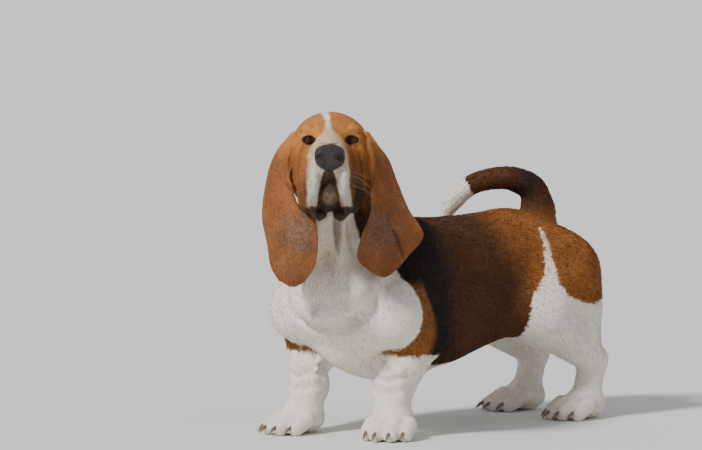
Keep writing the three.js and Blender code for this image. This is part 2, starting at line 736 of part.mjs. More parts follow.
// The almond between the lids, from the inner corner round by the upper lid; it droops in the middle.
function lidOpening(side) {
  const shape = new THREE.Shape();
  shape.moveTo(-10.5 * side, 2);
  shape.quadraticCurveTo(-3 * side, 8.5, 9.5 * side, 0);
  shape.quadraticCurveTo(3 * side, -10, -3 * side, -8.5);
  shape.quadraticCurveTo(-8 * side, -6, -10.5 * side, 2);
  return new THREE.ExtrudeGeometry(shape, { depth: lidDepth, bevelEnabled: false, curveSegments: 4 });
}

for (const [name, side] of Object.entries(sides)) {
  const centre = head.clone().multiply(moved((side * eyeSpacing) / 2 - side * 3, -36, 0));
  const look = centre.clone().multiply(moved(0, 0, 0, side * 12, 90));
  face = face.subtract(solid(lidOpening(side), look)).subtract(solid(socketMesh, centre));
  place(`eye_${name}`, solid(eyeMesh, centre), "eye");
}
const noseLines = [lines(-30, 30, 5.6), lines(-172, -120, 5.6), lines(-62, -4, 5.6)];
const nose = largest(solid(surface(noseClay, head, ...noseLines)));
face = face.subtract(solid(surface(noseClay, head, ...noseLines, parting + 0.1)));
place("nose", nose, "leather");
const jawBlock = (grow) => block(head, [-21, -160, -150], [21, -52, -79], grow);
const jaw = solid(surface(hound, head, lines(-34, 34, 8), lines(-160, -30, 11), lines(-140, -60, 8)));
place("lower_jaw", jaw.intersect(jawBlock(0)), "white");
place("head", face.subtract(jawBlock(parting)), "tan");

// Ears. Each row runs down the ear and gives its front edge, its middle and its rear edge in the level head's
// frame, for the left ear as it would lie on +x.
const earRows = {
  right: [
    [[-54, -8, 2], [-62, 20, 12], [-56, 48, 4]],
    [[-60, -24, -24], [-86, 6, -22], [-92, 40, -30]],
    [[-50, -40, -66], [-88, -16, -70], [-106, 28, -74]],
    [[-28, -52, -112], [-76, -36, -120], [-112, 14, -125]],
    [[-20, -56, -160], [-66, -46, -170], [-104, 0, -168]],
    [[-25, -54, -202], [-60, -50, -214], [-98, -24, -205]],
    [[-42, -52, -229], [-62, -50, -237], [-85, -40, -227]],
  ],
  left: [
    [[54, -8, 4], [62, 20, 14], [56, 50, 6]],
    [[62, -24, -24], [82, 0, -22], [92, 42, -28]],
    [[64, -34, -68], [90, -18, -70], [111, 32, -72]],
    [[66, -38, -114], [98, -26, -118], [130, 24, -116]],
    [[51, -36, -156], [98, -28, -162], [154, 14, -156]],
    [[45, -32, -192], [88, -26, -200], [130, 2, -188]],
    [[66, -28, -214], [90, -22, -223], [113, -10, -209]],
  ],
};
const earAcross = 7;
const earDown = 13;

// The ear's middle sheet, laid over the clay: each point that would lie in the flesh is pressed out of it.
function earSheet(rows) {
  const curves = [0, 1, 2].map((n) => new THREE.CatmullRomCurve3(rows.map((row) => vector(row[n])), false, "catmullrom"));
  const sheet = [];
  for (let j = 0; j <= earDown; j++) {
    const stations = curves.map((curve) => curve.getPoint(j / earDown));
    const arch = new THREE.CatmullRomCurve3(stations, false, "catmullrom");
    for (let i = 0; i <= earAcross; i++) {
      const spot = arch.getPoint(i / earAcross).applyMatrix4(headLevel);
      const wanted = j === 0 ? -3 : j === 1 ? 1.5 : earThickness / 2 + 2;
      for (let pass = 0; pass < 4; pass++) {
        const gap = hound.distance(spot.x, spot.y, spot.z);
        if (gap >= wanted) break;
        spot.addScaledVector(hound.slope(spot.x, spot.y, spot.z).normalize(), wanted - gap);
      }
      sheet.push(spot);
    }
  }
  return sheet;
}

function earSolid(rows, side) {
  const sheet = earSheet(rows);
  const width = earAcross + 1;
  const at = (i, j) => sheet[clamp(j, 0, earDown) * width + clamp(i, 0, earAcross)];
  const positions = [];
  for (const face of [1, -1]) {
    for (let j = 0; j <= earDown; j++) {
      for (let i = 0; i <= earAcross; i++) {
        const normal = at(i + 1, j).clone().sub(at(i - 1, j)).cross(at(i, j + 1).clone().sub(at(i, j - 1)));
        const edge = i === 0 || i === earAcross || j === earDown ? 0.55 : 1;
        const half = (earThickness / 2) * edge * (1 - (0.3 * j) / earDown);
        positions.push(...at(i, j).clone().addScaledVector(normal.normalize(), face * side * half).toArray());
      }
    }
  }
  const triangles = [];
  const quad = (a, b, c, d) => triangles.push(...(side > 0 ? [a, b, c, a, c, d] : [a, c, b, a, d, c]));
  const back = sheet.length;
  for (let j = 0; j < earDown; j++) {
    for (let i = 0; i < earAcross; i++) {
      const a = j * width + i;
      quad(a, a + 1, a + width + 1, a + width);
      quad(back + a, back + a + width, back + a + width + 1, back + a + 1);
    }
    const [first, last] = [j * width, j * width + earAcross];
    quad(first, first + width, back + first + width, back + first);
    quad(last, back + last, back + last + width, last + width);
  }
  for (let i = 0; i < earAcross; i++) {
    const [top, bottom] = [i, earDown * width + i];
    quad(top, back + top, back + top + 1, top + 1);
    quad(bottom, bottom + 1, back + bottom + 1, back + bottom);
  }
  const geometry = new THREE.BufferGeometry();
  geometry.setAttribute("position", new THREE.Float32BufferAttribute(positions, 3));
  geometry.setIndex(triangles);
  return solid(geometry);
}

for (const [name, side] of Object.entries(sides)) {
  const outwards = new THREE.Vector3(side * 2 * parting, 0, 0).transformDirection(head).multiplyScalar(2 * parting);
  const beside = new THREE.Matrix4().makeTranslation(outwards);
  const ear = earSolid(earRows[name], side).subtract(solid(headSurface)).subtract(solid(headSurface, beside));
  place(`ear_${name}`, ear, "tan");
}

// The whole stands with the middle of its bounding box over the origin.
const bounds = new THREE.Box3().setFromObject(dog);
const middle = bounds.getCenter(new THREE.Vector3());
for (const mesh of dog.children) mesh.geometry.translate(-middle.x, -middle.y, 0);

export default dog;
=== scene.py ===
import math

import bmesh
import bpy
import numpy as np
from mathutils import Euler, Matrix, Vector, noise


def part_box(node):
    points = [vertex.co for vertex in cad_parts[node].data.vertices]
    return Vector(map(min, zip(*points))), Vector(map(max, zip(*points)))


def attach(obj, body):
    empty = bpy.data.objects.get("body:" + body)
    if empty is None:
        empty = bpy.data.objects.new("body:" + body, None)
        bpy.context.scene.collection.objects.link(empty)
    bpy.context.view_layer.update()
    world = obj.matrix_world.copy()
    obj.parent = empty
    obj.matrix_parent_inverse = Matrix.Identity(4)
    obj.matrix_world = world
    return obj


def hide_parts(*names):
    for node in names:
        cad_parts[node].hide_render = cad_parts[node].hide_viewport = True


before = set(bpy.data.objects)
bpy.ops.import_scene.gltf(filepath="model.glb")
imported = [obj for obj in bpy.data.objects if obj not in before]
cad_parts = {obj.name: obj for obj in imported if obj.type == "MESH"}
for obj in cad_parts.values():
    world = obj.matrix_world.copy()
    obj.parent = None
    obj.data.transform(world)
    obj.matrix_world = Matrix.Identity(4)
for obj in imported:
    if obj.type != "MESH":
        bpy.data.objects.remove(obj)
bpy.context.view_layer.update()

# Sizes shared with the solids.
body = {
    "withers": 368.0,
    "length": 640.0,
    "chestWidth": 256.0,
    "bend": 24.0,  # degrees that the forequarters turn to the left
    "bendStart": 70.0,
    "bendEnd": -150.0,
    "headAt": (164.0, -318.0, 501.0),
    "headYaw": 55.0,
    "headPitch": 6.0,
    "eyeRadius": 11.8,
    "eyeAt": (34.0, -36.0, 0.0),
    "noseWidth": 49.0,
    "earThickness": 5.0,
}
sides = {"left": 1, "right": -1}
mm = 0.001
ballSlack = 45.0  # millimetres that a form's blend may reach past the ball around it


def moved(x, y, z, turnZ=0.0, turnX=0.0):
    turn = Matrix.Rotation(math.radians(turnZ), 4, "Z") @ Matrix.Rotation(math.radians(turnX), 4, "X")
    return Matrix.Translation((x, y, z)) @ turn


def mirrored(side, point):
    return (point[0] * side, point[1], point[2])


bendRadius = (body["bendStart"] - body["bendEnd"]) / math.radians(body["bend"])


def bent(point):
    x, y, z = point
    if y >= body["bendStart"]:
        return point
    angle = min((body["bendStart"] - y) / bendRadius, math.radians(body["bend"]))
    rest = max(0.0, body["bendEnd"] - y)
    return (
        bendRadius - (bendRadius - x) * math.cos(angle) + rest * math.sin(angle),
        body["bendStart"] - (bendRadius - x) * math.sin(angle) - rest * math.cos(angle),
        z,
    )


hips = Matrix.Identity(4)  # the hindquarters' frame is the clay's own
chestAt = bent((0.0, body["bendEnd"], 0.0))
chest = moved(chestAt[0], chestAt[1], 0.0, body["bend"]) @ moved(0.0, -body["bendEnd"], 0.0)
head = moved(*body["headAt"], body["headYaw"], -body["headPitch"])
headLevel = moved(*body["headAt"], body["headYaw"])
pawFrames = {
    "front_left": chest @ moved(92.0, -246.0, 0.0, 14.0),
    "front_right": chest @ moved(-92.0, -246.0, 0.0, -14.0),
    "hind_left": moved(88.0, 262.0, 0.0, 8.0),
    "hind_right": moved(-88.0, 262.0, 0.0, -8.0),
}

# The clay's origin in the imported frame, read from the left eye.
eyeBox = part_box("eye_left")
eyeMiddle = (Vector(eyeBox[0]) + Vector(eyeBox[1])) / 2
clayShift = np.array(head @ Vector(body["eyeAt"])) - np.array(eyeMiddle) / mm
clayShift[2] = 0.0


def toClay(points):
    return np.asarray(points, dtype=float) / mm + clayShift


def fromClay(points):
    return (np.asarray(points, dtype=float) - clayShift) * mm


def lengths(vectors):
    return np.linalg.norm(vectors, axis=1)


def inFrame(matrix, points):
    back = np.array(matrix.inverted())
    return points @ back[:3, :3].T + back[:3, 3]


# Forms: each gives a distance from points, negative inside, with the middle and radius of a ball around it.
def blob(centre, radii, turn=(0, 0, 0)):
    back = np.array(Euler([math.radians(t) for t in turn], "ZYX").to_matrix())
    centre, radii = np.array(centre, dtype=float), np.array(radii, dtype=float)

    def distance(p):
        q = (p - centre) @ back
        k = lengths(q / radii)
        g = lengths(q / radii**2)
        return np.where(g < 1e-9, -radii.min(), k * (k - 1) / np.maximum(g, 1e-9))

    return distance, centre, radii.max()


def limb(points, radii, slim=(1, 1, 1)):
    slim = np.array(slim, dtype=float)
    pts, radii = np.array(points, dtype=float), np.array(radii, dtype=float)

    def distance(p):
        q = p / slim
        nearest = np.full(len(p), np.inf)
        for a, b, ra, rb in zip(pts[:-1] / slim, pts[1:] / slim, radii[:-1], radii[1:]):
            along = b - a
            t = np.clip((q - a) @ along / (along @ along), 0, 1)
            off = lengths(q - a - t[:, None] * along)
            nearest = np.minimum(nearest, off - ra - (rb - ra) * t)
        return nearest * slim.min()

    centre = (pts.max(0) + pts.min(0)) / 2
    return distance, centre, np.max(lengths(pts - centre) + radii)


def curvePoint(points, t):
    points = np.array(points, dtype=float)
    points = np.vstack([2 * points[0] - points[1], points, 2 * points[-1] - points[-2]])
    place = t * (len(points) - 3)
    i = min(int(place), len(points) - 4)
    w = place - i
    a, b, c, d = points[i : i + 4]
    return 0.5 * (2 * b + (c - a) * w + (2 * a - 5 * b + 4 * c - d) * w**2 + (3 * b - a - 3 * c + d) * w**3)


def rope(points, radii, slim=(1, 1, 1)):
    steps = (len(points) - 1) * 3
    rows = [[*point, radius] for point, radius in zip(points, radii)]
    made = np.array([curvePoint(rows, n / steps) for n in range(steps + 1)])
    return limb(made[:, :3], made[:, 3], slim)


trunkRows = np.array([  # y, top, bottom, half width
    [body["length"] * 0.49, 260, 232, 26],
    [284, 293, 216, 60],
    [240, 336, 186, 86],
    [180, 362, 152, 101],
    [120, 358, 134, 107],
    [60, 354, 116, 118],
    [0, 354, 100, body["chestWidth"] * 0.49],
    [-80, 361, 93, body["chestWidth"] * 0.5],
    [-150, body["withers"], 96, body["chestWidth"] * 0.49],
    [-205, 352, 106, body["chestWidth"] * 0.47],
    [-262, 312, 138, body["chestWidth"] * 0.4],
    [-300, 276, 172, body["chestWidth"] * 0.28],
    [-body["length"] * 0.5, 246, 200, 30],
])


def rowAt(rows, y):
    y = np.clip(y, rows[-1, 0], rows[0, 0])
    i = np.clip(np.searchsorted(-rows[:, 0], -y) - 1, 0, len(rows) - 2)
    a, b = rows[i], rows[i + 1]
    before, after = rows[np.maximum(i - 1, 0)], rows[np.minimum(i + 2, len(rows) - 1)]
    span = b[:, :1] - a[:, :1]
    t = (y[:, None] - a[:, :1]) / span
    leave = (b - before) / (b[:, :1] - before[:, :1]) * span
    arrive = (after - a) / (after[:, :1] - a[:, :1]) * span
    rise = b - a
    return a + t * (leave + t * (3 * rise - 2 * leave - arrive + t * (leave + arrive - 2 * rise)))


def straightened(p):
    x, y = bendRadius - p[:, 0], body["bendStart"] - p[:, 1]
    angle = np.arctan2(y, x)
    arc = np.column_stack([bendRadius - np.hypot(x, y), body["bendStart"] - bendRadius * angle, p[:, 2]])
    turned = inFrame(chest, p)
    behind = (p[:, 1] >= body["bendStart"])[:, None]
    return np.where(behind, p, np.where((angle < math.radians(body["bend"]))[:, None], arc, turned))


def trunkDistance(p):
    q = straightened(p)
    _, top, bottom, halfWidth = rowAt(trunkRows, q[:, 1]).T
    halfHeight = (top - bottom) / 2
    rise = q[:, 2] - (top + bottom) / 2
    share = (np.abs(q[:, 0] / halfWidth) ** 2.3 + np.abs(rise / halfHeight) ** 2.3) ** (1 / 2.3)
    off = np.hypot(q[:, 0], rise)
    outside = off * (1 - 1 / np.maximum(share, 0.05))
    around = np.where(share < 0.05, -np.minimum(halfWidth, halfHeight), outside)
    past = np.maximum(0, np.abs(q[:, 1]) - body["length"] / 2)
    return np.where(past > 0, np.hypot(np.maximum(around, 0), past), around)


trunk = (trunkDistance, np.array([50.0, 0.0, 220.0]), 420.0)


# Forms joined or carved one after another, with soft seams.
class Clay:
    def __init__(self):
        self.steps = []
        self.frame = hips

    def within(self, matrix):
        self.frame = matrix
        return self

    def add(self, form, blend=12.0, carves=False):
        distance, centre, radius = form
        middle = np.array(self.frame @ Vector(centre))
        back = np.array(self.frame.inverted())
        self.steps.append((distance, middle, radius + ballSlack, back, blend, carves))

    def carve(self, form, blend=4.0):
        self.add(form, blend, True)

    def distance(self, p):
        value = np.full(len(p), 1000.0)
        for form, middle, reach, back, blend, carves in self.steps:
            near = np.nonzero(((p - middle) ** 2).sum(1) < reach**2)[0]
            if not len(near):
                continue
            d = form(p[near] @ back[:3, :3].T + back[:3, 3])
            v = value[near]
            if carves:
                value[near] = np.maximum(v, -d) + np.maximum(0, blend - np.abs(v + d)) ** 2 / (4 * blend)
            else:
                value[near] = np.minimum(v, d) - np.maximum(0, blend - np.abs(v - d)) ** 2 / (4 * blend)
        return value

    def valueAndSlope(self, p, step=0.3):
        here = self.distance(p)
        slope = np.column_stack([self.distance(p + offset) - here for offset in np.eye(3) * step]) / step
        return here, slope

    # Moves points onto the surface, or to a depth below it, and along it by a pull.
    def press(self, p, depth=0.0, passes=4, most=6.0, pull=None):
        for _ in range(passes):
            here, slope = self.valueAndSlope(p)
            squared = np.maximum(0.3, (slope**2).sum(1))[:, None]
            step = -(here + depth)[:, None] * slope / squared
            length = lengths(step)[:, None]
            step *= np.minimum(1, most / np.maximum(length, 1e-9))
            if pull is not None:
                step += pull - (pull * slope).sum(1)[:, None] * slope / squared
            p = p + step
        return p


def placed(matrix, point):
    return tuple(matrix @ Vector(point))


# The forms of the body, as in the solids.
def addTrunk(clay):
    clay.within(hips).add(trunk, 1)
    for side in sides.values():
        clay.within(hips)
        clay.add(blob((54 * side, 208, 276), (46, 58, 54)), 30)  # rump
        clay.add(limb([(48 * side, 264, 256), (62 * side, 276, 205)], [34, 33]), 26)  # buttock
        clay.within(chest)
        clay.add(blob((88 * side, -160, 272), (36, 62, 88), (-14, 0, side * 4)), 26)  # shoulder blade
        clay.add(blob((98 * side, -236, 214), (42, 48, 52)), 26)  # point of the shoulder
    clay.within(chest)
    clay.add(blob((0, -286, 226), (62, 42, 60)), 30)  # breastbone
    clay.add(limb([(0, -250, 150), (0, -120, 112), (0, -40, 108)], [34, 30, 30]), 30)  # keel
    clay.within(hips)
    clay.add(limb([(0, 236, 312), (-2, 237, 356)], [34, 27]), 20)  # root of the tail


dewlap = {  # two folds of the throat, in clay coordinates
    "left": [placed(head, (14, -60, -114)), placed(chest, (41, -326, 322)), placed(chest, (62, -318, 252))],
    "right": [placed(head, (-14, -60, -114)), placed(chest, (4, -330, 322)), placed(chest, (-10, -330, 246))],
}
dewlapRadii = [10, 14, 20]
# The furrow between the two folds, down to the bib, in the chest's frame.
throatFurrow = [(41, -350, 322), (38, -356, 290), (31, -358, 262), (16, -354, 236), (-8, -348, 206)]


def addNeck(clay):
    base, middle = placed(chest, (0, -168, 282)), placed(chest, (0, -232, 366))
    top = placed(head, (0, 34, -18))
    clay.within(hips).add(rope([base, middle, top], [92, 74, 60]), 34)
    throat = placed(head, (0, -30, -92))
    hang, bib = placed(chest, (18, -286, 330)), placed(chest, (8, -298, 246))
    clay.add(rope([throat, hang, bib], [30, 38, 44]), 30)  # throat
    for path in dewlap.values():
        clay.add(rope(path, dewlapRadii), 7)
    clay.within(chest).add(blob((8, -298, 252), (72, 40, 46), (10, 0, 0)), 20)  # bib of loose skin
    bibEdge = [
        (-104, -250, 280), (-52, -312, 230), (-16, -326, 215), (14, -326, 215), (46, -316, 226),
        (74, -286, 256), (94, -254, 294),
    ]
    clay.carve(rope([(x * 1.03, y + 4, z - 31) for x, y, z in bibEdge], [8, 11, 13, 13, 12, 11, 8]), 8)
    clay.add(rope(bibEdge, [6, 16, 19, 19, 17, 14, 6]), 9)
    clay.carve(rope(throatFurrow, [4, 7, 6, 4, 2]), 5)
    clay.carve(blob((22, -348, 194), (14, 16, 10)), 5)


def addForeleg(clay, name, side):
    clay.within(chest)
    clay.add(limb([(100 * side, -238, 205), (112 * side, -172, 172)], [46, 40]), 24)  # upper arm
    clay.add(rope([(108 * side, -182, 172), (98 * side, -208, 125), (82 * side, -224, 78)], [42, 35, 30]), 18)
    clay.add(limb([(82 * side, -226, 80), (87 * side, -240, 40)], [32, 31]), 10)  # pastern
    clay.add(blob((114 * side, -158, 178), (26, 26, 30)), 16)  # elbow
    for height, size in ((112, 8), (92, 9), (70, 9)):
        wrinkle = [(62 * side, -246, height), (86 * side, -256, height - 6), (106 * side, -244, height)]
        clay.add(limb(wrinkle, [size] * 3), 8)
    addPaw(clay, pawFrames["front_" + name])


def addHindleg(clay, name, side):
    clay.within(hips)
    clay.add(limb([(66 * side, 240, 254), (84 * side, 172, 186)], [66, 54], (0.9, 1, 1)), 30)  # thigh
    clay.add(rope([(66 * side, 250, 246), (76 * side, 266, 190), (84 * side, 272, 132)], [46, 40, 30]), 24)
    clay.add(rope([(88 * side, 178, 178), (86 * side, 236, 138), (84 * side, 288, 100)], [48, 37, 25]), 16)
    clay.add(blob((84 * side, 298, 100), (20, 20, 24)), 10)  # hock
    clay.add(limb([(84 * side, 290, 98), (86 * side, 276, 36)], [25, 25]), 10)
    clay.add(limb([(86 * side, 140, 196), (84 * side, 92, 176)], [30, 22]), 34)  # flank fold
    addPaw(clay, pawFrames["hind_" + name])


tailPath = [  # from the root to the tip
    (0, 238, 325),
    (-2, 236, 362),
    (-6, 226, 394),
    (-18, 196, 411),
    (-30, 168, 413),
    (-46, 142, 407),
    (-64, 126, 394),
    (-84, 114, 370),
    (-102, 106, 340),
]
tailRadii = [27, 27, 25, 22, 20, 19, 18, 16, 8]
toes = [(-32, -14, -40), (-12, -26, -56), (12, -26, -56), (32, -14, -40)]  # place across, knuckle, tip


def addPaw(clay, pawFrame):
    clay.within(pawFrame)
    clay.add(blob((0, 8, 24), (37, 40, 27)), 14)
    for x, knuckle, tip in toes:
        clay.add(limb([(x, knuckle, 25), (x * 1.04, tip, 11)], [15, 13.5]), 5)


def mouthLine(side):
    return [(0, -150, -70), (11 * side, -146, -84), (19 * side, -136, -106), (22 * side, -112, -124)]


def addHead(clay):
    clay.within(head)
    clay.add(blob((0, 16, -2), (61, 66, 50)), 22)  # skull
    clay.add(blob((0, 64, 24), (18, 16, 20)), 22)  # occiput
    clay.add(limb([(0, -46, -14), (0, -128, -30)], [33, 27]), 18)  # bridge of the muzzle
    clay.add(blob((0, -102, -50), (34, 46, 30)), 14)
    for side in sides.values():
        clay.add(blob((29 * side, -36, 16), (21, 18, 12)), 20)  # brow
        clay.add(blob((44 * side, 0, -50), (26, 50, 48)), 24)  # cheek
        clay.add(limb([(44 * side, -36, -20), (52 * side, 6, -10)], [14, 16]), 16)
        clay.add(blob((36 * side, -48, -70), (19, 34, 50), (14, 0, 0)), 14)
        clay.add(blob((38 * side, -60, -98), (13, 26, 22)), 14)
        clay.add(blob((24 * side, -108, -66), (14, 41, 42)), 10)  # flews
        clay.add(blob((30 * side, -88, -86), (12, 44, 35), (6, side * 6, side * 4)), 10)
        clay.add(rope([(30 * side, -60, -112), (18 * side, -80, -126), (13 * side, -76, -124)], [9, 9, 7]), 6)
        earFold = [(57 * side, -16, 16), (65 * side, -26, -14), (68 * side, -30, -46), (61 * side, -38, -84)]
        clay.add(rope(earFold, [5, 8, 8, 4]), 5)
    clay.add(limb([(0, -112, -90), (0, -30, -92)], [19, 28]), 5)  # lower jaw
    clay.add(blob((0, -122, -94), (17, 16, 19)), 4)  # chin
    for side in sides.values():
        clay.add(blob((35.5 * side, -37, 0), (17.5, 15.5, 16)), 7)
        clay.carve(rope(mouthLine(side), [3, 3.5, 4, 4]), 4)
    clay.carve(rope([(0, -152, -52), (0, -152, -72)], [2.5, 2.5]), 4)  # philtrum


# The opening between the lids: where an upper and a lower arc overlap, ahead of the eye's middle.
def lidGap(side):
    x, y, z = mirrored(side, body["eyeAt"])

    def distance(p):
        across, rise = (p[:, 0] - x) * side, p[:, 2] - z
        upper = np.hypot(across - 0.5, rise + 9.8) - 14.2
        lower = np.hypot(across + 1.0, rise - 5.5) - 12.8
        return np.maximum(np.maximum(upper, lower), p[:, 1] - y)

    return distance, np.array([x, y, z]), 40.0


def makeHound():
    clay = Clay()
    addTrunk(clay)
    addNeck(clay)
    for name, side in sides.items():
        addForeleg(clay, name, side)
        addHindleg(clay, name, side)
    addHead(clay)
    clay.within(hips).add(rope(tailPath, tailRadii), 14)
    return clay


# Wrinkles of the left half, each a path and its radii in the head's frame.
wrinkles = [
    ([(22, -64, -16), (34, -74, -40), (38, -76, -66), (38, -76, -96)], [1, 2.4, 2.6, 1]),
    ([(44, -50, -14), (51, -54, -40), (49, -58, -76), (42, -66, -106)], [1, 3, 3, 1.5]),
    ([(55, -38, -4), (64, -32, -40), (62, -38, -80), (50, -52, -112)], [1, 3, 3.2, 1.5]),
    ([(60, -22, 4), (70, -12, -36), (70, -16, -80)], [1, 2.6, 1.5]),
    ([(14, -60, 16), (9, -52, 30), (8, -38, 43)], [1, 1.8, 1]),
    ([(27, -55, 20), (33, -40, 33), (36, -24, 42)], [1, 1.8, 1]),
    ([(48, -42, 12), (56, -26, 18)], [1.2, 1]),
    ([(12, -150, -56), (10, -152, -66), (13, -150, -80)], [0.8, 1.2, 0.8]),
]


# Lids and small folds that the solids leave out.
def addFineForms(clay):
    clay.within(head)
    for side in sides.values():
        for path, radii in wrinkles:
            clay.carve(rope([mirrored(side, point) for point in path], radii), 5)
        x, y, z = mirrored(side, body["eyeAt"])
        rim = body["eyeRadius"]
        upperLid = [(x - 11 * side, y - 9, z + 1), (x - side, y - 13.5, z + 6), (x + 10 * side, y - 8, z)]
        lowerLid = [(x - 11 * side, y - 9, z), (x - 2 * side, y - 13, z - 9), (x + 10 * side, y - 8, z)]
        clay.add(rope(upperLid, [1.8, 2.6, 1.8]), 3)
        clay.add(rope(lowerLid, [1.8, 2.6, 1.8]), 3)
        clay.carve(lidGap(side), 1.2)
        clay.carve(blob((x, y, z), (rim + 0.3,) * 3), 0.6)
    clay.carve(rope([(0, -166, -52), (0, -158, -60), (0, -154, -72)], [1.4, 1.6, 1.4]), 3)


hound = makeHound()
fineHound = makeHound()
addFineForms(fineHound)


def makeNose():
    half = body["noseWidth"] / 2
    clay = Clay().within(head)
    clay.add(blob((0, -142, -27), (half, 17, 15)), 1)
    clay.add(blob((0, -144, -43), (half * 0.62, 16, 14)), 9)
    for side in sides.values():
        clay.add(blob((side * half * 0.54, -149, -36), (half * 0.46, 14, 14)), 6)
        nostril = [(side * 9, -168, -33), (side * 15, -164, -33), (side * 24, -152, -40)]
        clay.carve(rope(nostril, [7.6, 6.4, 2.8]), 3)
    clay.carve(rope([(0, -168, -30), (0, -166, -54)], [1.8, 1.8]), 3)
    return clay


noseClay = makeNose()


# Meshes and arrays.
def newObject(name, mesh):
    made = bpy.data.objects.new(name, mesh)
    bpy.context.scene.collection.objects.link(made)
    return made


def meshOf(bm, name, smooth=True):
    mesh = bpy.data.meshes.new(name)
    bm.to_mesh(mesh)
    bm.free()
    if smooth:
        smoothShade(mesh)
    return mesh


def coordinates(mesh):
    made = np.empty(len(mesh.vertices) * 3)
    mesh.vertices.foreach_get("co", made)
    return made.reshape(-1, 3)


def setCoordinates(mesh, points):
    mesh.vertices.foreach_set("co", np.ascontiguousarray(points, dtype=np.float32).ravel())
    mesh.update()


def setLayer(mesh, name, kind, values):
    layer = mesh.attributes.new(name, kind, "POINT")
    field = {"FLOAT": "value", "FLOAT_COLOR": "color", "FLOAT_VECTOR": "vector"}[kind]
    layer.data.foreach_set(field, np.ascontiguousarray(values, dtype=np.float32).ravel())


# Evens out the mesh along the surface, or only its moving points.
def relax(mesh, clay, points, depth, rounds, moving=None):
    edges = np.empty(len(mesh.edges) * 2, dtype=np.int64)
    mesh.edges.foreach_get("vertices", edges)
    a, b = edges.reshape(-1, 2).T
    count = np.maximum(np.bincount(np.concatenate([a, b]), minlength=len(points)), 1)
    moving = np.arange(len(points)) if moving is None else moving
    for _ in range(rounds):
        total = np.column_stack([
            np.bincount(a, points[b, axis], len(points)) + np.bincount(b, points[a, axis], len(points))
            for axis in range(3)
        ])
        pull = 0.6 * (total / count[:, None] - points)
        points[moving] = clay.press(points[moving], depth, passes=1, pull=pull[moving])
    return points


# Copies of the nodes joined and meshed again as one closed skin.
def remeshed(name, nodes, voxel):
    bm = bmesh.new()
    for node in nodes:
        bm.from_mesh(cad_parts[node].data)
    rough = newObject(name + "Rough", meshOf(bm, name + "Joined", False))
    remesh = rough.modifiers.new("voxels", "REMESH")
    remesh.mode = "VOXEL"
    remesh.voxel_size = voxel
    mesh = bpy.data.meshes.new_from_object(rough.evaluated_get(bpy.context.evaluated_depsgraph_get()))
    bpy.data.objects.remove(rough)
    mesh.name = name
    return mesh


# Splits the faces whose middles are chosen, by a function of clay points.
def refine(mesh, chosen):
    bm = bmesh.new()
    bm.from_mesh(mesh)
    bm.faces.ensure_lookup_table()
    middles = toClay([face.calc_center_median() for face in bm.faces])
    picked = np.nonzero(chosen(middles))[0]
    edges = {edge for n in picked for edge in bm.faces[n].edges}
    bmesh.ops.subdivide_edges(bm, edges=list(edges), cuts=1, use_grid_fill=True, use_single_edge=True)
    bmesh.ops.triangulate(bm, faces=[face for face in bm.faces if len(face.verts) > 4])
    bm.to_mesh(mesh)
    bm.free()


def smoothShade(mesh):
    mesh.polygons.foreach_set("use_smooth", np.ones(len(mesh.polygons), dtype=bool))
    mesh.update()


def fromEye(points, side):  # distance of clay points from the middle of that side's eye
    return lengths(inFrame(head, points) - np.array(mirrored(side, body["eyeAt"])))


skinLook = {
    "voxel": 0.005,
    "depth": 1.2,  # millimetres that the skin lies under the solids, the coat's own depth
    "floor": 0.3,
    "headReach": (-170, 40),  # from the nose to behind the ears, where the mesh is finer
    "headBelow": -150,
    "headHalf": 90,
    "lidEdge": -0.4,  # how far inside the lids' opening the skin ends
    "socket": 24.0,
}


def nearHead(points):
    x, y, z = inFrame(head, points).T
    ahead, behind = skinLook["headReach"]
    return (y > ahead) & (y < behind) & (z > skinLook["headBelow"]) & (np.abs(x) < skinLook["headHalf"])


def nearFace(points):
    _, y, z = inFrame(head, points).T
    eyes = (fromEye(points, 1) < 25) | (fromEye(points, -1) < 25)
    return eyes | (y < -96) & (z > skinLook["headBelow"]) & (z < -30)


def openLids(mesh):  # takes away the skin that spans the lids' opening, ahead of the eye
    bm = bmesh.new()
    bm.from_mesh(mesh)
    faces = list(bm.faces)
    middles = toClay(np.array([face.calc_center_median()[:] for face in faces]))
    chosen = np.zeros(len(faces), bool)
    for side in sides.values():
        inGap = lidGap(side)[0](inFrame(head, middles)) < skinLook["lidEdge"]
        chosen |= inGap & (fromEye(middles, side) < skinLook["socket"])
    bmesh.ops.delete(bm, geom=[faces[n] for n in np.nonzero(chosen)[0]], context="FACES")
    bm.to_mesh(mesh)
    bm.free()


def buildSkin():
    names = [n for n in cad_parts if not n.startswith(("claw", "ear", "eye", "nose"))]
    mesh = remeshed("skin", names, skinLook["voxel"])
    depth = skinLook["depth"]
    points = hound.press(toClay(coordinates(mesh)), depth, passes=2)
    points = relax(mesh, hound, points, depth, 3)
    setCoordinates(mesh, fromClay(points))
    refine(mesh, nearHead)
    refine(mesh, nearFace)
    points = toClay(coordinates(mesh))
    onHead = np.nonzero(nearHead(points))[0]
    points[onHead] = fineHound.press(points[onHead], depth, passes=3, most=3.0)
    points = relax(mesh, fineHound, points, depth, 3, onHead)
    points[:, 2] = np.maximum(points[:, 2], skinLook["floor"])
    setCoordinates(mesh, fromClay(points))
    openLids(mesh)
    smoothShade(mesh)
    skin = newObject("skin", mesh)
    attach(skin, "root")
    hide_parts(*names)
    return skin


skin = buildSkin()
print("skin", len(skin.data.vertices), "vertices")


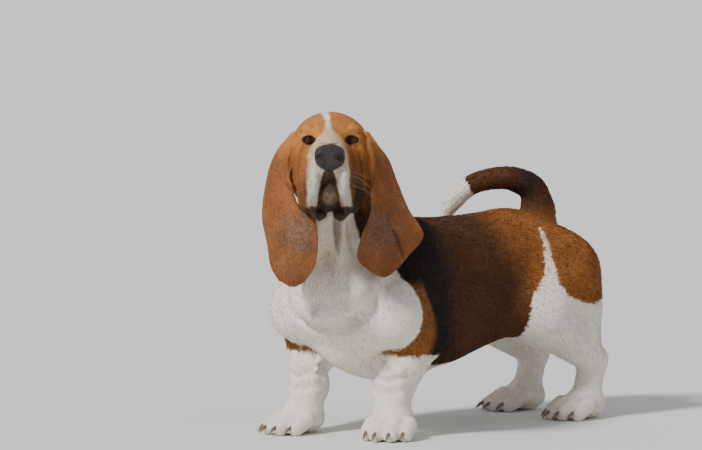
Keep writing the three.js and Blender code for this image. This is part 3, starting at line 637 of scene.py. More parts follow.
# Ears: rows down the ear, each with its front edge, middle and rear edge in the level head's frame.
earRows = {
    "right": [
        [(-54, -8, 2), (-62, 20, 12), (-56, 48, 4)],
        [(-60, -24, -24), (-86, 6, -22), (-92, 40, -30)],
        [(-50, -40, -66), (-88, -16, -70), (-106, 28, -74)],
        [(-28, -52, -112), (-76, -36, -120), (-112, 14, -125)],
        [(-20, -56, -160), (-66, -46, -170), (-104, 0, -168)],
        [(-25, -54, -202), (-60, -50, -214), (-98, -24, -205)],
        [(-42, -52, -229), (-62, -50, -237), (-85, -40, -227)],
    ],
    "left": [
        [(54, -8, 4), (62, 20, 14), (56, 50, 6)],
        [(62, -24, -24), (82, 0, -22), (92, 42, -28)],
        [(64, -34, -68), (90, -18, -70), (111, 32, -72)],
        [(66, -38, -114), (98, -26, -118), (130, 24, -116)],
        [(51, -36, -156), (98, -28, -162), (154, 14, -156)],
        [(45, -32, -192), (88, -26, -200), (130, 2, -188)],
        [(66, -28, -214), (90, -22, -223), (113, -10, -209)],
    ],
}
earLook = {"across": 36, "down": 84, "clearance": 4.5}


def buildEar(name, side):
    across, down = earLook["across"], earLook["down"]
    rows = np.array(earRows[name], dtype=float).reshape(len(earRows[name]), 9)
    points = []
    for j in range(down + 1):
        stations = curvePoint(rows, j / down).reshape(3, 3)
        points += [curvePoint(stations, i / across) for i in range(across + 1)]
    level = np.array(headLevel)
    points = np.array(points) @ level[:3, :3].T + level[:3, 3]
    rowOf = np.repeat(np.arange(down + 1), across + 1) / down
    columnOf = np.tile(np.arange(across + 1), down + 1) / across
    wanted = np.interp(rowOf, [0, 0.08, 0.16], [-6, -1, earLook["clearance"]])
    held = np.interp(rowOf, [0, 0.22, 0.34], [1, 1, 0]) * np.interp(columnOf, [0, 0.1, 0.4], [1, 1, 0])
    wanted -= held * np.interp(rowOf, [0, 0.16, 0.34], [0, 6, 2])
    for _ in range(4):
        gap, slope = hound.valueAndSlope(points)
        slope /= np.maximum(lengths(slope), 1e-9)[:, None]
        off = np.clip(wanted - gap, -8, 20)
        points += np.where(off > 0, off, off * held)[:, None] * slope
    bm = bmesh.new()
    bmesh.ops.create_grid(bm, x_segments=across, y_segments=down, size=1)
    bm.verts.ensure_lookup_table()
    flat = np.array([vert.co[:2] for vert in bm.verts])
    order = np.lexsort((flat[:, 0], -flat[:, 1]))
    local = fromClay(points)
    for n, vert in enumerate(order):
        bm.verts[vert].co = local[n]
    ear = newObject("ear_" + name + "_skin", meshOf(bm, "ear_" + name + "_skin"))
    thick = ear.modifiers.new("thickness", "SOLIDIFY")
    thick.thickness = body["earThickness"] * 0.8 * mm
    thick.offset = 0
    soft = ear.modifiers.new("softness", "SUBSURF")
    soft.levels = 1
    soft.render_levels = 1
    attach(ear, "root")
    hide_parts("ear_" + name)
    return ear


ears = [buildEar(name, side) for name, side in sides.items()]
print("ears built")


def evaluatedMesh(piece):
    return bpy.data.meshes.new_from_object(piece.evaluated_get(bpy.context.evaluated_depsgraph_get()))


# Nose: the pad and its nostrils, finer than the solid.
noseLook = {
    "voxel": 0.0013,
    "pebbles": 900.0,  # cells per metre
    "roughness": 0.44,
    "nostril": (13.0, -164.0, -34.0),  # middle of the left one's dark, in the head's frame
    "nostrilSize": (7.0, 16.0, 6.5),
}


def buildNose():
    mesh = remeshed("nose_skin", ["nose"], noseLook["voxel"])
    points = noseClay.press(toClay(coordinates(mesh)), 0.0, passes=3)
    points = relax(mesh, noseClay, points, 0.0, 2)
    setCoordinates(mesh, fromClay(points))
    face = inFrame(head, points)
    # Painted shade in the nostrils: a mask round each nostril's middle, near black in the nose's material.
    dark = np.zeros(len(points))
    for side in sides.values():
        off = (face - np.array(mirrored(side, noseLook["nostril"]))) / np.array(noseLook["nostrilSize"])
        dark = np.maximum(dark, np.clip(1.7 - 1.2 * lengths(off), 0, 1))
    setLayer(mesh, "nostril", "FLOAT", dark)
    smoothShade(mesh)
    nose = newObject("nose_skin", mesh)
    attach(nose, "root")
    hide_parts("nose")
    return nose


nose = buildNose()
print("nose built")

# Eyes: a globe with a raised cornea; the attribute fromPupil holds degrees from the pupil's middle.
eyeLook = {
    "looksAlong": (0.80, -0.58, 0.02),  # in clay coordinates
    "turnOut": 5.0,  # degrees
    "iris": 35.0,  # degrees from the pupil's middle
    "cornea": 0.9,  # millimetres that it bulges
}


def buildEye(name, side):
    bm = bmesh.new()
    bmesh.ops.create_uvsphere(bm, u_segments=48, v_segments=36, radius=body["eyeRadius"] * mm)
    angles = []
    for vert in bm.verts:
        angle = math.degrees(vert.co.angle(Vector((0, 0, 1))))
        angles.append(angle)
        rise = max(0.0, 1 - (angle / eyeLook["iris"]) ** 2) * eyeLook["cornea"]
        vert.co *= 1 + rise / body["eyeRadius"]
    outward = Matrix.Rotation(math.radians(eyeLook["turnOut"] * side), 3, "Z")
    turn = Vector((0, 0, 1)).rotation_difference(outward @ Vector(eyeLook["looksAlong"])).to_matrix()
    bmesh.ops.transform(bm, verts=bm.verts, matrix=turn.to_4x4())
    middle = fromClay(np.array([placed(head, mirrored(side, body["eyeAt"]))]))[0]
    bmesh.ops.translate(bm, verts=bm.verts, vec=Vector(middle))
    mesh = meshOf(bm, "eye_" + name + "_globe")
    setLayer(mesh, "fromPupil", "FLOAT", angles)
    eye = newObject("eye_" + name + "_globe", mesh)
    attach(eye, "root")
    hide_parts("eye_" + name)
    return eye


eyes = [buildEye(name, side) for name, side in sides.items()]
print("eyes built")


# A tube of circles through the points, closed at both ends.
def addTube(bm, points, radii, segments):
    loops = []
    for n, (point, radius) in enumerate(zip(points, radii)):
        along = Vector(points[min(n + 1, len(points) - 1)]) - Vector(points[max(n - 1, 0)])
        matrix = Matrix.Translation(point) @ along.to_track_quat("Z", "Y").to_matrix().to_4x4()
        ring = bmesh.ops.create_circle(bm, segments=segments, radius=radius, matrix=matrix)
        loops.append(ring["verts"])
    for lower, upper in zip(loops[:-1], loops[1:]):
        for n in range(segments):
            after = (n + 1) % segments
            bm.faces.new((lower[n], lower[after], upper[after], upper[n]))
    bm.faces.new(list(reversed(loops[0])))
    bm.faces.new(loops[-1])


# Claws: short, blunt and bent down, with their roots in the toes.
clawLook = {
    "bend": [(1, 14.5), (8, 14.8), (16, 12.5), (21, 9), (24.5, 5)],  # ahead of the toe's tip, and height
    "root": 4.6,
    "tip": 1.0,
    "segments": 12,
}


def buildClaws():
    bm = bmesh.new()
    for pawFrame in pawFrames.values():
        for x, _, tip in toes:
            path = [(x, tip - ahead, height) for ahead, height in clawLook["bend"]]
            radii = np.linspace(clawLook["root"], clawLook["tip"], len(path) * 2 - 1)
            fine = [curvePoint(path, n / (len(radii) - 1)) for n in range(len(radii))]
            points = fromClay(np.array([placed(pawFrame, point) for point in fine]))
            addTube(bm, points, radii * mm, clawLook["segments"])
    bmesh.ops.recalc_face_normals(bm, faces=bm.faces)
    claws = newObject("claws", meshOf(bm, "claws"))
    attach(claws, "root")
    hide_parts(*[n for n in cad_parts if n.startswith("claw")])
    return claws


claws = buildClaws()
print("claws built")

# Whiskers: thin closed hairs that stand out of the flews and fall a little.
whiskerLook = {
    "count": 7,  # a side
    "length": (24.0, 42.0),
    "root": 0.26,
    "tip": 0.08,
    "fall": 9.0,
    "steps": 7,
    "seed": 11,
}


def buildWhiskers():
    draw = np.random.default_rng(whiskerLook["seed"])
    bm = bmesh.new()
    for side in sides.values():
        for _ in range(whiskerLook["count"]):
            root = np.array([[36.0 * side, draw.uniform(-136, -92), draw.uniform(-84, -40)]])
            root = inFrame(head, hound.press(np.array([placed(head, root[0])]), 1.0))[0]
            outward, back, rise = draw.uniform(0.7, 1.0), draw.uniform(-0.35, 0.25), draw.uniform(-0.45, 0.1)
            out = np.array([side * outward, back, rise])
            length = draw.uniform(*whiskerLook["length"])
            steps = np.linspace(0, 1, whiskerLook["steps"])
            drop = np.array([0, 0, -whiskerLook["fall"]])
            path = [root + out * length * t + drop * t * t for t in steps]
            points = fromClay(np.array([placed(head, point) for point in path]))
            radii = np.linspace(whiskerLook["root"], whiskerLook["tip"], len(steps)) * mm
            addTube(bm, points, radii, 5)
    bmesh.ops.recalc_face_normals(bm, faces=bm.faces)
    whiskers = newObject("whiskers", meshOf(bm, "whiskers"))
    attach(whiskers, "root")
    return whiskers


whiskers = buildWhiskers()
print("whiskers built")


# Markings, by signed distances in millimetres to their edges, positive inside.
def patchEdge(u, v, corners):
    corners = np.array(corners, dtype=float)
    nearest = np.full(len(u), np.inf)
    inside = np.zeros(len(u), dtype=bool)
    for (au, av), (bu, bv) in zip(corners, np.roll(corners, -1, axis=0)):
        du, dv = bu - au, bv - av
        t = np.clip(((u - au) * du + (v - av) * dv) / (du * du + dv * dv), 0, 1)
        nearest = np.minimum(nearest, np.hypot(u - au - t * du, v - av - t * dv))
        if dv:
            crosses = ((av > v) != (bv > v)) & (u < du * (v - av) / dv + au)
            inside ^= crosses
    return np.where(inside, nearest, -nearest)


def smoothStep(low, high, value):
    t = np.clip((value - low) / (high - low), 0, 1)
    return t * t * (3 - 2 * t)


def paint(red, green, blue):  # a screen colour, 0 to 255, as linear light
    c = np.array([red, green, blue]) / 255
    return np.where(c <= 0.04045, c / 12.92, ((c + 0.055) / 1.055) ** 2.4)


coatColours = {
    "forehead": paint(184, 120, 58),
    "cheek": paint(148, 88, 42),
    "ear": paint(142, 88, 50),
    "earEnd": paint(124, 76, 45),
    "scuff": paint(104, 84, 68),
    "saddle": paint(24, 15, 11),
    "flank": paint(76, 44, 21),
    "legBack": paint(130, 80, 38),
    "rump": paint(134, 80, 36),
    "tail": paint(80, 47, 23),
    "tailSpot": paint(44, 28, 18),
    "lip": paint(40, 30, 26),
    "throatShade": paint(70, 38, 16),
    "mouth": paint(84, 64, 50),
    "chin": paint(150, 124, 98),
    "haw": paint(196, 104, 94),
}
muzzleWhite = [  # x and z of the blaze and the muzzle's white, in the head's frame
    (-4, 62), (-2, 46), (0, 28), (2, 17), (7, 10), (15, 3), (23, -10), (29, -30), (32, -60), (34, -90),
    (40, -124), (-40, -124), (-37, -90), (-37, -60), (-36, -32), (-30, -11), (-20, 3), (-13, 9), (-8, 17),
    (-7, 28), (-13, 46), (-14, 62),
]
thighWhite = [  # y and z of the left thigh's patch, down to the floor
    (120, -20), (122, 130), (127, 190), (133, 217), (166, 252), (172, 295), (177, 333), (182, 334),
    (182, 300), (188, 240), (205, 216), (232, 207), (262, 199), (300, 207), (360, 207), (360, -20),
]
markingPlaces = {  # millimetres, but for the tail's share
    "breastWhite": -244,  # y where the chest's white begins, and its top
    "breastTop": 300,
    "legTop": 138,
    "bellyTop": 108,
    "bellyHalf": 80,
    "foldsWhite": 22,  # round the throat's folds, and its top
    "foldsTop": -112,
    "tailNear": 40,
    "tailFrom": 345,
    "tailWhite": 0.7,
    "scuffLeft": 82,
    "scuffRight": -52,
    "scuffAt": -146,
    "scuffSize": (34, 40),
}


tailSteps = 64


# The share of the tail's length at clay points, and which of them are on the tail.
def alongTail(points):
    made = np.array([curvePoint(tailPath, n / tailSteps) for n in range(tailSteps + 1)])
    away = np.linalg.norm(points[:, None] - made[None], axis=2)
    onTail = (away.min(1) < markingPlaces["tailNear"]) & (points[:, 2] > markingPlaces["tailFrom"])
    return away.argmin(1) / tailSteps, onTail


def mottle(points, size):  # soft random patches, about -1 to 1, of this size in millimetres
    return np.array([noise.noise(Vector(point)) for point in points / size]) * 1.6


# The coat's pigment, the signed edge of its white, and masks of lip and haw, at clay points.
def markings(points, onEar=False):
    face, level = inFrame(head, points), inFrame(headLevel, points)
    breast, straight = inFrame(chest, points), straightened(points)
    x, y, z = face.T
    c, at = coatColours, markingPlaces
    count = len(points)

    def mixed(a, b, share):
        return a + (b - a) * share[:, None]

    def plain(name):
        return np.tile(c[name], (count, 1))

    along, height = straight[:, 1], points[:, 2]
    back = mixed(plain("saddle"), c["flank"], smoothStep(-150, -30, along + 0.2 * (height - 200)))
    back = mixed(back, c["rump"], smoothStep(80, 180, along + 0.35 * (height - 240)))
    behindLeg = smoothStep(270, 248, breast[:, 2]) * smoothStep(-196, -212, breast[:, 1])
    back = mixed(back, c["legBack"], behindLeg)
    skull = mixed(plain("forehead"), c["cheek"], smoothStep(14, -50, z))
    fromHead = lengths(face * np.array([1, 0.9, 0.8]) - np.array([0, -30, -20]))
    pigment = mixed(skull, back, smoothStep(96, 150, fromHead))
    folds = np.full(count, 1e3)
    for path in dewlap.values():
        folds = np.minimum(folds, rope(path, dewlapRadii)[0](points))
    pigment = mixed(pigment, c["cheek"], smoothStep(66, 40, folds) * smoothStep(-20, -30, level[:, 0]))
    pigment = mixed(pigment, c["throatShade"], smoothStep(60, 40, folds) * smoothStep(16, 30, level[:, 0]))

    front = np.interp(z, [-60, 0, 30, 60], [-62, -44, 0, 40]) - y
    white = np.minimum(patchEdge(x, z, muzzleWhite), front)
    white = np.maximum(white, np.minimum(at["foldsWhite"] - folds, at["foldsTop"] - level[:, 2]))
    breastTop = at["breastTop"] - 0.3 * np.maximum(0, np.abs(breast[:, 0]) - 60)
    chestWhite = np.minimum(at["breastWhite"] - breast[:, 1], breastTop - breast[:, 2])
    legWhite = np.minimum(at["legTop"] - breast[:, 2], -120 - breast[:, 1])
    belly = np.minimum(at["bellyTop"] - points[:, 2], at["bellyHalf"] - np.abs(straight[:, 0]))
    thigh = patchEdge(points[:, 1], points[:, 2], thighWhite)
    tail, onTail = alongTail(points)
    white = np.maximum.reduce([white, chestWhite, legWhite, belly, thigh])
    white = np.where(onTail, (tail - at["tailWhite"]) * 250, white)
    tailTone = mixed(plain("tail"), c["tailSpot"], np.exp(-(((tail - 0.3) / 0.1) ** 2)))
    tailTone = mixed(plain("rump"), tailTone, smoothStep(0.02, 0.16, tail))
    pigment = np.where(onTail[:, None], tailTone, pigment)

    lip, haw = np.zeros(count), np.zeros(count)
    halfWide = np.interp(z, [-116, -84, -50], [19, 15, 7])
    inMouth = smoothStep(halfWide + 5, halfWide - 4, np.abs(x + 2)) * smoothStep(-44, -62, z)
    inMouth *= smoothStep(-146, -140, z) * smoothStep(-36, -56, y)
    rims = smoothStep(-106, -118, z) * smoothStep(-40, -54, y) * smoothStep(-150, -140, z)
    bare = np.maximum(inMouth, rims)
    white = np.minimum(white, 10 - 20 * bare)
    pigment = mixed(pigment, c["mouth"], bare)
    patches = mottle(points, 9.0)
    chinSpot = lengths((face - np.array([0, -138, -101])) / np.array([17, 14, 14]))
    pigment = mixed(pigment, c["chin"], smoothStep(1.5, 0.3, chinSpot + 0.5 * patches) * 0.7)
    pigment = pigment * (1 + 0.35 * bare * patches)[:, None]
    # Painted shade: the left side of the face, from the brow down, darkened by up to 0.3.
    shadedFaceSide = smoothStep(20, 44, x) * smoothStep(20, -30, z) * smoothStep(170, 130, fromHead)
    pigment = pigment * (1 - 0.3 * shadedFaceSide)[:, None]
    for side in sides.values():
        lip = np.maximum(lip, smoothStep(7, 1, rope(mouthLine(side), [2] * 4)[0](face)))
        opening = lidGap(side)[0](face)
        nearEye = smoothStep(26, 19, fromEye(points, side))
        lip = np.maximum(lip, 0.92 * smoothStep(4.0, 1.6, opening) * nearEye)
        below = smoothStep(1, -3, z - body["eyeAt"][2])
        haw = np.maximum(haw, smoothStep(2.2 if side > 0 else 0.6, 0.2, opening) * nearEye * below)
    if onEar:
        white = np.full(count, -60.0)
        pigment = mixed(plain("ear"), c["earEnd"], smoothStep(-120, -220, level[:, 2]))
        pigment = mixed(plain("forehead"), pigment, smoothStep(6, -40, level[:, 2]))
        middle = np.where(level[:, 0] > 0, at["scuffLeft"], at["scuffRight"])
        wide, high = at["scuffSize"]
        reach = np.hypot((level[:, 0] - middle) / wide, (level[:, 2] - at["scuffAt"]) / high)
        reach = reach + 0.35 * mottle(points, 16.0)
        specks = mottle(points, 3.2)
        scuff = smoothStep(1.15, 0.5, reach)
        pigment = mixed(pigment, c["scuff"], scuff * np.clip(0.6 + 0.5 * specks, 0, 1))
        pigment = pigment * (1 + 0.45 * scuff * specks)[:, None]
        lip, haw = np.zeros(count), np.zeros(count)
    pigment = pigment * (1 + 0.16 * mottle(points, 34.0) + 0.08 * patches)[:, None]
    return pigment, white, lip, haw


# Painted shade: a dark line along the furrow between the throat's folds.
furrow = [placed(head, (10, -66, -122))]  # dark line between the throat's folds
furrow += [placed(chest, point) for point in throatFurrow]
earCrease = [(103, 0, -146), (111, 0, -164), (119, 0, -188)]


# Painted shade: how much light the wrinkles, the furrow between the throat's folds, the low flews, the chin's
# underside and a crease of the left ear lose, from 0 to 1.
def creaseShade(points, onEar=False):
    if onEar:
        level = inFrame(headLevel, points)
        level[:, 1] = 0
        return 0.7 * smoothStep(2.4, 0, rope(earCrease, [0.6, 1.2, 0.6])[0](level))
    face = inFrame(head, points)
    crease = np.full(len(points), 9.0)
    for side in sides.values():
        for path, radii in wrinkles:
            crease = np.minimum(crease, rope([mirrored(side, point) for point in path], radii)[0](face))
    line = rope(furrow, [10, 7, 5, 4, 3, 1])[0](points)
    dark = np.maximum(0.55 * smoothStep(3.2, -0.5, crease), 0.7 * smoothStep(9, -3, line))
    x, y, z = face.T
    lowFlews = smoothStep(-20, -112, z) * smoothStep(-44, -60, y) * smoothStep(60, 50, np.abs(x))
    underChin = smoothStep(-104, -124, z) * smoothStep(-190, -150, z) * smoothStep(-20, -40, y)
    return np.maximum.reduce([dark, 0.42 * lowFlews, 0.4 * underChin])


# How warm the white is: cream on the muzzle and the throat's folds.
def creamShare(points, onEar=False):
    face = inFrame(head, points)
    muzzle = smoothStep(-30, -70, face[:, 1]) * smoothStep(170, 140, lengths(face))
    throat = smoothStep(-120, -140, face[:, 2]) * smoothStep(-260, -180, face[:, 2]) * 0.35
    return np.zeros(len(points)) if onEar else np.maximum(muzzle, throat)


# The way that the hair lies: back from the nose, along the body and down the legs and ears.
def coatLie(points, normals, onEar=False):
    face, straight = inFrame(head, points), straightened(points)
    fromFace = lengths(face)
    headBack = np.array(head.to_3x3()) @ np.array([0, 1.0, 0])
    pawAhead = np.array([0, -1.0, -0.3])
    down = np.array([0.0, 0.0, -1.0])
    if onEar:
        lie = np.tile(down, (len(points), 1))
    else:
        angle = np.clip((body["bendStart"] - straight[:, 1]) / bendRadius, 0, math.radians(body["bend"]))
        lie = np.column_stack([-np.sin(angle), np.cos(angle), np.full(len(points), -0.25)])
        lie = lie + down * (2.5 * smoothStep(-190, -260, straight[:, 1]))[:, None]
        lie = lie + down * (3 * smoothStep(190, 120, points[:, 2]))[:, None]
        lie = lie + headBack * (6 * smoothStep(130, 90, fromFace))[:, None]
        lie = lie + down * (7 * smoothStep(-5, -60, face[:, 2]) * smoothStep(190, 140, fromFace))[:, None]
        toesTurn = smoothStep(48, 30, points[:, 2])[:, None]
        forward = np.where((points[:, 1] < 0)[:, None], np.array(chest.to_3x3()) @ pawAhead, pawAhead)
        lie = lie * (1 - toesTurn) + forward * toesTurn
        tail, onTail = alongTail(points)
        shares = np.linspace(0, 1, tailSteps + 1)
        ahead, behind = [
            np.array([curvePoint(tailPath, np.clip(t + off, 0, 1)) for t in shares]) for off in (0.04, -0.04)
        ]
        step = (ahead - behind)[np.rint(tail * tailSteps).astype(int)]
        lie = np.where(onTail[:, None], step, lie)
    lie = lie - (lie * normals).sum(1)[:, None] * normals
    return lie / np.maximum(lengths(lie), 1e-9)[:, None]


def vertexNormals(mesh):
    made = np.empty(len(mesh.vertices) * 3)
    mesh.vertices.foreach_get("normal", made)
    return made.reshape(-1, 3)


# Pigment and the masks at clay points, as the skin and the coat both carry them.
def coatLayers(points, onEar):
    pigment, white, lip, haw = markings(points, onEar)
    masks = {"white": white, "lip": lip, "haw": haw}
    return pigment, {**masks, "cream": creamShare(points, onEar), "shade": creaseShade(points, onEar)}


def setCoatLayers(mesh, pigment, masks, lie):
    setLayer(mesh, "pigment", "FLOAT_COLOR", np.column_stack([pigment, np.ones(len(pigment))]))
    for mask, values in masks.items():
        setLayer(mesh, mask, "FLOAT", values)
    setLayer(mesh, "lie", "FLOAT_VECTOR", lie)


def paintPiece(piece, onEar=False):
    points = toClay(coordinates(piece.data))
    lie = coatLie(points, vertexNormals(piece.data), onEar)
    setCoatLayers(piece.data, *coatLayers(points, onEar), lie)


paintPiece(skin)
for ear in ears:
    paintPiece(ear, True)
print("markings painted")

# Coat: short tufts, joined by region, each a three-sided spike that bends along the lie.
coatLook = {
    "tufts": 90000,
    "width": 1.0,
    "lift": 0.16,
    "sink": 0.4,
    "stray": 0.14,
    "patch": 0.003,  # of the unwrap's side, that one tuft takes
}


def coatLength(points, onEar=False):
    face, straight = inFrame(head, points), straightened(points)
    length = np.interp(straight[:, 1], [-320, -200, 100, 250, 320], [6, 6, 6, 7, 9])
    length = np.where(points[:, 2] < 110, 4.5, length)
    near = smoothStep(170, 110, lengths(face))
    length = length * (1 - near) + near * np.interp(face[:, 1], [-120, -60, 20], [1.8, 2.4, 4])
    return np.full(len(points), 3.2) if onEar else length


# Corner places of an unwrap by smart projection, kept on the mesh under that name.
def unwrapped(mesh, name):
    holder = newObject("unwrapHolder", mesh)
    bpy.context.view_layer.objects.active = holder
    holder.select_set(True)
    mesh.uv_layers.new(name=name)
    bpy.ops.object.mode_set(mode="EDIT")
    bpy.ops.mesh.select_all(action="SELECT")
    bpy.ops.uv.smart_project(angle_limit=math.radians(66), island_margin=0.002)
    bpy.ops.object.mode_set(mode="OBJECT")
    bpy.data.objects.remove(holder)
    made = np.empty(len(mesh.loops) * 2)
    mesh.uv_layers[name].data.foreach_get("uv", made)
    return made.reshape(-1, 2)


# Tufts over a piece, a mesh for each region that the roots fall in.
def growCoat(piece, count, regions, seed, onEar=False):
    draw = np.random.default_rng(seed)
    mesh = evaluatedMesh(piece)
    places = unwrapped(mesh, "OFBake")
    mesh.calc_loop_triangles()
    corners = np.empty(len(mesh.loop_triangles) * 3, dtype=np.int64)
    loops = np.empty(len(mesh.loop_triangles) * 3, dtype=np.int64)
    mesh.loop_triangles.foreach_get("vertices", corners)
    mesh.loop_triangles.foreach_get("loops", loops)
    corners, loops = corners.reshape(-1, 3), loops.reshape(-1, 3)
    points, normals = coordinates(mesh), vertexNormals(mesh)
    a, b, c = points[corners[:, 0]], points[corners[:, 1]], points[corners[:, 2]]
    area = lengths(np.cross(b - a, c - a))
    middles = toClay((a + b + c) / 3)
    length = coatLength(middles, onEar)
    _, _, lip, haw = markings(middles, onEar)
    crowd = area * (9 / length) ** 0.7 * (1 - np.maximum(lip, haw)) * (middles[:, 2] > 4)
    picked = draw.choice(len(area), count, p=crowd / crowd.sum())
    weights = draw.dirichlet((1, 1, 1), count)
    root = np.einsum("ij,ijk->ik", weights, points[corners[picked]])
    normal = np.einsum("ij,ijk->ik", weights, normals[corners[picked]])
    normal /= lengths(normal)[:, None]
    place = np.einsum("ij,ijk->ik", weights, places[loops[picked]])
    clayRoot = toClay(root)
    lie = coatLie(clayRoot, normal, onEar)
    side = np.cross(normal, lie)
    lie = lie + side * draw.normal(0, coatLook["stray"], count)[:, None]
    lie /= lengths(lie)[:, None]
    side = np.cross(normal, lie)
    long = length[picked] * draw.uniform(0.7, 1.25, count) * mm
    wide = coatLook["width"] * draw.uniform(0.7, 1.3, count) * np.clip(length[picked] / 8, 0.45, 1.2) * mm
    rise = coatLook["lift"] * draw.uniform(0.5, 1.4, count)
    base = root - normal * coatLook["sink"] * mm
    halfway = root + lie * (0.5 * long)[:, None] + normal * (0.5 * long * rise)[:, None]
    tip = root + lie * long[:, None] + normal * (0.72 * long * rise)[:, None]
    spots = np.stack([
        base + side * (wide / 2)[:, None],
        base - side * (wide / 2)[:, None],
        base + normal * (wide * 0.6)[:, None],
        halfway + side * (wide * 0.4)[:, None],
        halfway - side * (wide * 0.4)[:, None],
        halfway + normal * (wide * 0.45)[:, None],
        tip,
    ], axis=1)
    shape = np.array([  # the faces of one tuft
        (0, 2, 1), (0, 1, 4), (0, 4, 3), (1, 2, 5), (1, 5, 4), (2, 0, 3), (2, 3, 5), (3, 4, 6), (4, 5, 6),
        (5, 3, 6),
    ])
    patch = np.array([(-0.5, -0.5), (0.5, -0.5), (0, -0.5), (-0.4, 0.1), (0.4, 0.1), (0, 0.1), (0, 0.5)])
    patch *= coatLook["patch"]
    perTuft = len(patch)
    pigment, masks = coatLayers(clayRoot, onEar)
    pieces = []
    group = regions(clayRoot)
    for name in sorted(set(group)):
        own = np.nonzero(group == name)[0]
        faces = (shape[None] + perTuft * np.arange(len(own))[:, None, None]).reshape(-1, 3)
        made = bpy.data.meshes.new("coat_" + name)
        made.from_pydata(spots[own].reshape(-1, 3), [], faces)
        each = np.repeat(own, perTuft)
        tone = pigment * draw.uniform(0.86, 1.14, count)[:, None]
        ownMasks = {mask: values[each] for mask, values in masks.items()}
        setCoatLayers(made, tone[each], ownMasks, lie[each])
        uv = (place[own][:, None] + patch[None]).reshape(-1, 2)
        made.uv_layers.new(name="OFBake").data.foreach_set("uv", uv[faces.ravel()].ravel())
        smoothShade(made)
        tufts = newObject("coat_" + name, made)
        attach(tufts, "root")
        pieces.append(tufts)
    bpy.data.meshes.remove(mesh)
    return pieces


def bodyRegions(points):
    face, straight = inFrame(head, points), straightened(points)
    names = np.where(straight[:, 0] > 0, "trunk_left", "trunk_right").astype("<U12")
    names[points[:, 2] < 150] = "legs"
    names[(straight[:, 1] < -150) & (points[:, 2] >= 150)] = "chest"
    names[lengths(face) < 170] = "head"
    names[alongTail(points)[1]] = "tail"
    return names


coat = growCoat(skin, coatLook["tufts"], bodyRegions, 3)
for ear, name in zip(ears, sides):
    count = coatLook["tufts"] // 9
    coat += growCoat(ear, count, lambda points: np.full(len(points), "ear_" + name), 5, True)
print("coat", sum(len(piece.data.polygons) for piece in coat), "triangles")


# Materials.
def newGroup(name, outputs):
    tree = bpy.data.node_groups.new(name, "ShaderNodeTree")
    for socket, kind in outputs:
        tree.interface.new_socket(socket, in_out="OUTPUT", socket_type=kind)
    return tree, tree.nodes.new("NodeGroupOutput")


# A node with its settings, and sockets by name, or by number as n0, n1 and so on.
def addNode(tree, kind, settings=(), **values):
    node = tree.nodes.new(kind)
    for name, value in dict(settings).items():
        setattr(node, name, value)
    for name, value in values.items():
        socket = node.inputs[int(name[1:]) if name.startswith("n") else name]
        if isinstance(value, bpy.types.NodeSocket):
            tree.links.new(value, socket)
        else:
            socket.default_value = value
    return node


def maths(tree, operation, first, second=0.0, clamp=False):
    settings = {"operation": operation, "use_clamp": clamp}
    return addNode(tree, "ShaderNodeMath", settings, n0=first, n1=second).outputs[0]


def objectPlace(tree):
    return addNode(tree, "ShaderNodeTexCoord").outputs["Object"]


def clouds(tree, place, scale, detail=3.0):
    return addNode(tree, "ShaderNodeTexNoise", Vector=place, Scale=scale, Detail=detail).outputs[0]


def mixColour(tree, share, first, second):
    node = addNode(tree, "ShaderNodeMix", {"data_type": "RGBA"}, n0=share, n6=first, n7=second)
    return node.outputs[2]


def mask(tree, name, output="Fac"):
    return addNode(tree, "ShaderNodeAttribute", {"attribute_name": name}).outputs[output]


coatPaint = {
    "white": paint(240, 233, 222),
    "cream": paint(212, 184, 150),
    "freckles": 130.0,  # cells per metre
    "whiteRagged": 5.0,  # millimetres that the white's edge wanders
    "hairAcross": 1100.0,  # hairs' noise, per metre
    "clumps": 260.0,
    "combed": 0.88,  # how far the hairs are drawn out along their lie
}


